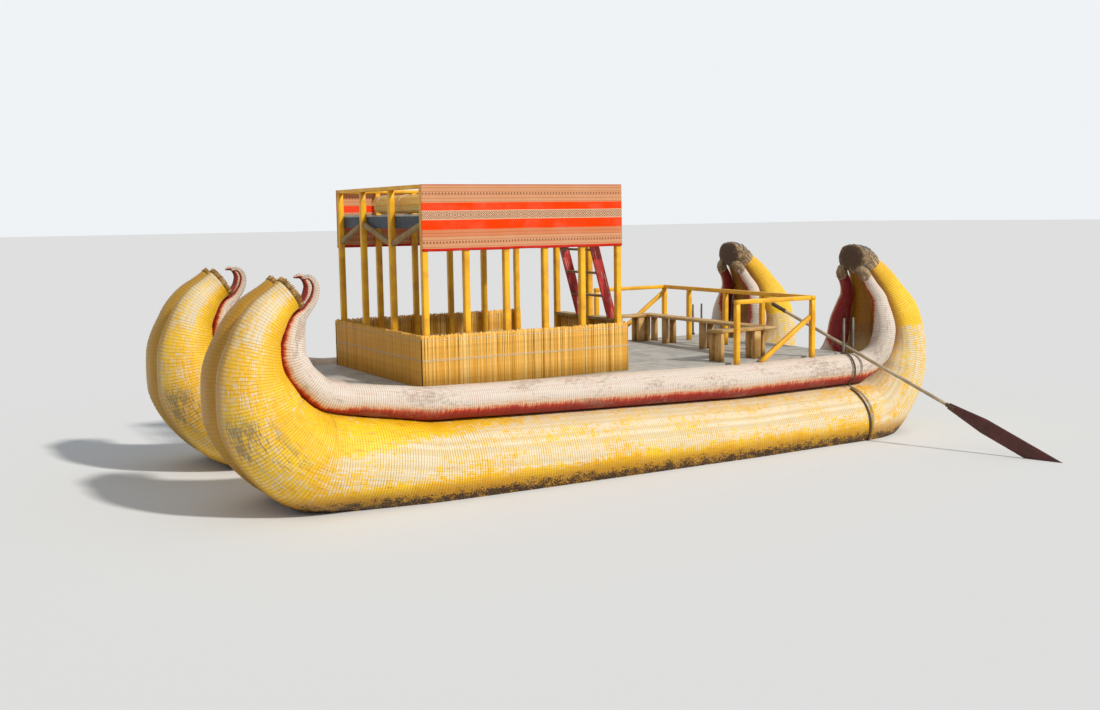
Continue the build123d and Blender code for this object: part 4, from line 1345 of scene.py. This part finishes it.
MAT = (2.640, 2.270, -0.500, 1.330, 0.128)
parts = rolled_mat(*MAT)
make("rolled_mat_reeds", parts, golden_reed, stands_for=["rolled_mat"],
     tone=0.7 + 0.3 * rng.random(len(parts)))
ties = []
for y in (-0.33, 0.41, 1.16):
    line = [(MAT[0] + (MAT[4] - MM) * cos(a), y + 2 * MM * sin(3 * a),
             MAT[1] + (MAT[4] - MM) * sin(a)) for a in np.linspace(0, tau, 60)]
    ties += rope_ring(line, 4 * MM)
make("rolled_mat_ties", ties, sewing_cord)
print(len(parts), "reeds in the rolled mat")

# %% [markdown]
# ## Ladder
# Two broad boards lean from the sill up to the platform, red paint worn white, with dark bare
# treads between them.

# %% Ladder boards and treads
FOOT, HEAD, TREAD = 0.700, 2.140, 0.028


def ladder_front(z):
    return 0.100 + 0.28 * (z - FOOT)


def tread(z):
    x, middle = ladder_front(z) - 0.05, z - TREAD / 2
    return piece((x, 0.4735, middle), (x, 1.2385, middle), section(TREAD, 0.100), (1, 0, 0))


ladder = []
for y in (0.456, 1.256):
    rings = [[(ladder_front(z) - back, y + side, z) for back, side in (
        (0, -0.0175), (0, 0.0175), (0.140, 0.0175), (0.140, -0.0175))]
        for z in np.linspace(FOOT, HEAD, 14)]
    ladder.append(skin(np.array(rings)))
thing = make("ladder_boards_sawn", ladder, red_timber, stands_for=["ladder_boards"], smooth=False)
ease_edges(thing, 3 * MM)
treads = [tread(z) for z in (1.015, 1.330, 1.645, 1.930)]
make("ladder_treads_sawn", treads, bare_timber, stands_for=["ladder_treads"])
print(len(treads), "treads")

# %% [markdown]
# ## Aft rail and benches
# The rail stands on the rolls and the deck: a long cross rail, two side panels with a diagonal
# each. The benches inside it are single planks on board legs, worn smooth where people sit.

# %% Rail
RAIL_X, FORE_X, UNDER, MIDDLE, RAIL = -3.080, -1.690, 0.830, 0.860, 0.070
UPRIGHTS = (-1.130, -0.170, 0.720)
TOP_TIMBER = section(RAIL, 0.060)
lo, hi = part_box("aft_rail")
RAIL_Y = hi.y - RAIL / 2
lo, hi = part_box("side_rail_port")
SIDE_Y, roll_height = hi.y - RAIL / 2, lo.z
foot_height = roll_height - 5 * MM

timbers = [piece((RAIL_X, -RAIL_Y - RAIL / 2, MIDDLE), (RAIL_X, RAIL_Y + RAIL / 2, MIDDLE),
                 TOP_TIMBER)]
timbers += [post(RAIL_X, y, 0, UNDER, RAIL) for y in UPRIGHTS]
timbers += [post(RAIL_X, y, foot_height, UNDER, RAIL) for y in (RAIL_Y, -RAIL_Y)]
make("aft_rail_sawn", timbers, yellow_timber, stands_for=["aft_rail"])
for side, name, high, foot in ((1, "port", 0.620, -2.080), (-1, "starboard", 0.800, -1.900)):
    y = side * SIDE_Y
    timbers = [piece((RAIL_X + RAIL / 2, y, MIDDLE), (FORE_X + RAIL / 2, y, MIDDLE), TOP_TIMBER),
               post(FORE_X, y, foot_height, UNDER, RAIL),
               piece((foot - 0.040, y, foot_height), (RAIL_X + 0.036, y, high - 0.037),
                     section(0.056, 0.062))]
    make(f"side_rail_{name}_sawn", timbers, yellow_timber, stands_for=[f"side_rail_{name}"])
print("rail stands on the rolls at z", round(roll_height, 3))

# %% Benches
PLANK, PLANK_MIDDLE, LEG_TOP, LEG = section(0.240, 0.040), 0.430, 0.410, 0.060
AFT_LEGS = ((-1.420, -0.900, 0.090, 1.300), (-2.605, -2.455))


def bench_legs(limits):
    return [piece(((x0 + x1) / 2, (y0 + y1) / 2, 0), ((x0 + x1) / 2, (y0 + y1) / 2, LEG_TOP),
                  section(x1 - x0, y1 - y0), (0, 1, 0)) for (x0, x1), (y0, y1) in limits]


legs = [((x, x + LEG), (y - LEG, y + LEG)) for y in AFT_LEGS[0] for x in AFT_LEGS[1]]
parts = [piece((-2.500, -1.590, PLANK_MIDDLE), (-2.500, 1.590, PLANK_MIDDLE), PLANK)]
make("bench_aft_sawn", parts + bench_legs(legs), seat_timber, stands_for=["bench_aft"])
for side, name, fore in ((1, "port", -1.530), (-1, "starboard", -1.750)):
    y = side * 1.470
    inner = sorted((side * 1.590, side * 1.350))
    legs = [((x - 2 * LEG, x), (low, low + LEG)) for x in (fore - 0.020, -2.220)
            for low in (inner[0] + 0.015, inner[1] - 0.075)]
    parts = [piece((-2.370, y, PLANK_MIDDLE), (fore, y, PLANK_MIDDLE), PLANK)]
    make(f"bench_{name}_sawn", parts + bench_legs(legs), seat_timber,
         stands_for=[f"bench_{name}"])
print("bench seats at", PLANK_MIDDLE + 0.020, "m")

# %% [markdown]
# ## Tholes and lashings
# The thole posts are peeled poles, silvered by weather and never quite straight. A dark laid
# rope goes over each outer roll beside them and down the hull.

# %% Thole posts
THOLE_Y, THOLE_HIGH = 1.840, 0.530
THOLE_FEET = ((-3.885, -0.005), (-3.700, -0.007))
for side, name in ((1, "port"), (-1, "starboard")):
    poles = [piece((x, side * THOLE_Y, foot), (x, side * THOLE_Y, foot + THOLE_HIGH),
                   circle(19 * MM), (1, 0, 0), waver=3 * MM, taper=0.88)
             for x, foot in THOLE_FEET]
    make(f"tholes_{name}_peeled", poles, silver_pole, stands_for=[f"tholes_{name}"])
print("tholes", THOLE_HIGH, "m high")

# %% Rope lashings
fibre_rope = cordage("plant fibre rope, dark", "#33271F", "#7A6650", 0.85, 0.8 * MM, 200, 700, 3.0)
OVER_ROLL = (1.840, -0.2325, 0.227 + 0.018)
DOWN_HULL = (1.770, -1.034, 0.572 + 0.010)
lashings = []
for side in (1, -1):
    y, z, reach = OVER_ROLL
    over = [(-3.700, side * (y + reach * cos(a)), z + reach * sin(a))
            for a in np.radians(np.linspace(100, -58, 40))]
    y, z, reach = DOWN_HULL
    down = [(-3.690 - 0.08 * sin(pi * t), side * (y + reach * cos(a)), z + reach * sin(a))
            for t, a in zip(np.linspace(0, 1, 50), np.radians(np.linspace(66, -60, 50)))]
    lashings += rope_ring(over, 15 * MM, sides=8, twist=38.0)
    lashings += rope_ring(down, 15 * MM, sides=8, twist=38.0)
make("roll_lashings_laid", lashings, fibre_rope, stands_for=["roll_lashings"])
print(len(lashings), "strands")

# %% [markdown]
# ## Oar
# The oar is a long pale pole with a painted board for a blade. It rests between the tholes in
# a rope grommet, on which it turns, so the grommet rides on one body and the oar on the next.

# %% Oar shaft and its bindings
OAR_CORD, GRIP, SHAFT_END = 9 * MM, -1.42, 1.80
pivot = Vector((-3.800, 1.772, 0.100))
way = Vector((-0.254, 0.875, -0.413)).normalized()
level = Vector((way.y, -way.x, 0)).normalized()
upward = level.cross(way)


def tube(points, radius, sides=6):
    """A thin cord along a line of points."""
    rings = []
    for i, p in enumerate(points):
        run = (points[min(len(points) - 1, i + 1)] - points[max(0, i - 1)]).normalized()
        across = run.cross(way).normalized()
        other = run.cross(across)
        rings.append([p + radius * (cos(b) * across + sin(b) * other) for b in angles(sides)])
    return skin(np.array(rings), width=tau * radius)


oar_pole = painted_timber("eucalyptus pole, bare and handled",
                          "#C4B296", "#94826A", "#DDD2BE", 0.7, 0.6)
shaft = piece(pivot + way * GRIP, pivot + way * SHAFT_END, circle(25 * MM), upward, waver=4 * MM)
make("oar_shaft_pole", [shaft], oar_pole, body="oar", stands_for=["oar_shaft"])
bound = []
for start, end, around in ((-1.40, -1.14, 26 * MM), (1.76, 1.90, 27 * MM)):
    turns = int((end - start) / OAR_CORD)
    line = [pivot + way * (start + (end - start) * k / (turns * 12)) + around * (
        cos(k / 12 * tau) * level + sin(k / 12 * tau) * upward) for k in range(turns * 12 + 1)]
    bound.append(tube(line, OAR_CORD * 0.55))
make("oar_bindings", bound, fibre_rope, body="oar")
print(len(bound), "bindings on the oar")

# %% Oar blade
BLADE_TIP, WIDEST, ROUNDED = 3.69, 2.36, 3.60
EDGE = ((-1, -0.3), (-0.8, -0.8), (0, -1), (0.8, -0.8), (1, -0.3),
        (1, 0.3), (0.8, 0.8), (0, 1), (-0.8, 0.8), (-1, 0.3))
blade_paint = painted_timber("pine board, dark red-brown paint",
                             "#5A211A", "#3B1612", "#7E5A48", 0.6, 0.5)
rings = []
for run in np.concatenate([np.linspace(SHAFT_END, WIDEST, 12), np.linspace(2.45, 3.55, 14),
                           np.linspace(ROUNDED, BLADE_TIP, 6)]).tolist():
    width = 0.045 + 0.0625 * min(1, (run - SHAFT_END) / (WIDEST - SHAFT_END))
    width *= sqrt(max(0.30, 1 - max(0, (run - ROUNDED) / 0.115) ** 2))
    thick = 0.015 - 0.006 * (run - SHAFT_END) / (BLADE_TIP - SHAFT_END)
    rings.append([pivot + way * run + width * c * upward + thick * s * level for c, s in EDGE])
make("oar_blade_board", [skin(np.array(rings))], blade_paint, body="oar",
     stands_for=["oar_blade"])
print("oar length", round(BLADE_TIP - GRIP, 2), "m")

# %% Grommet
ring = [pivot + 0.044 * (cos(a) * level + sin(a) * upward) for a in np.linspace(0, tau, 60)]
stem = [pivot + Vector((0, 0, z)) for z in np.linspace(-0.094, -0.044, 8)]
grommet = rope_ring(ring, 9 * MM) + rope_ring(stem, 11 * MM)
make("oar_grommet_laid", grommet, fibre_rope, body="grommet", stands_for=["oar_grommet"])
print(len(grommet), "strands in the grommet")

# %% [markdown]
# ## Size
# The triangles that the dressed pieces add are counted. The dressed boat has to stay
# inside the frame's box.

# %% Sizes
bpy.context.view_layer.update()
total = sum(len(o.data.loop_triangles) or sum(len(p.vertices) - 2 for p in o.data.polygons)
            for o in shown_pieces() if "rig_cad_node" not in o)
print("triangles added", total)
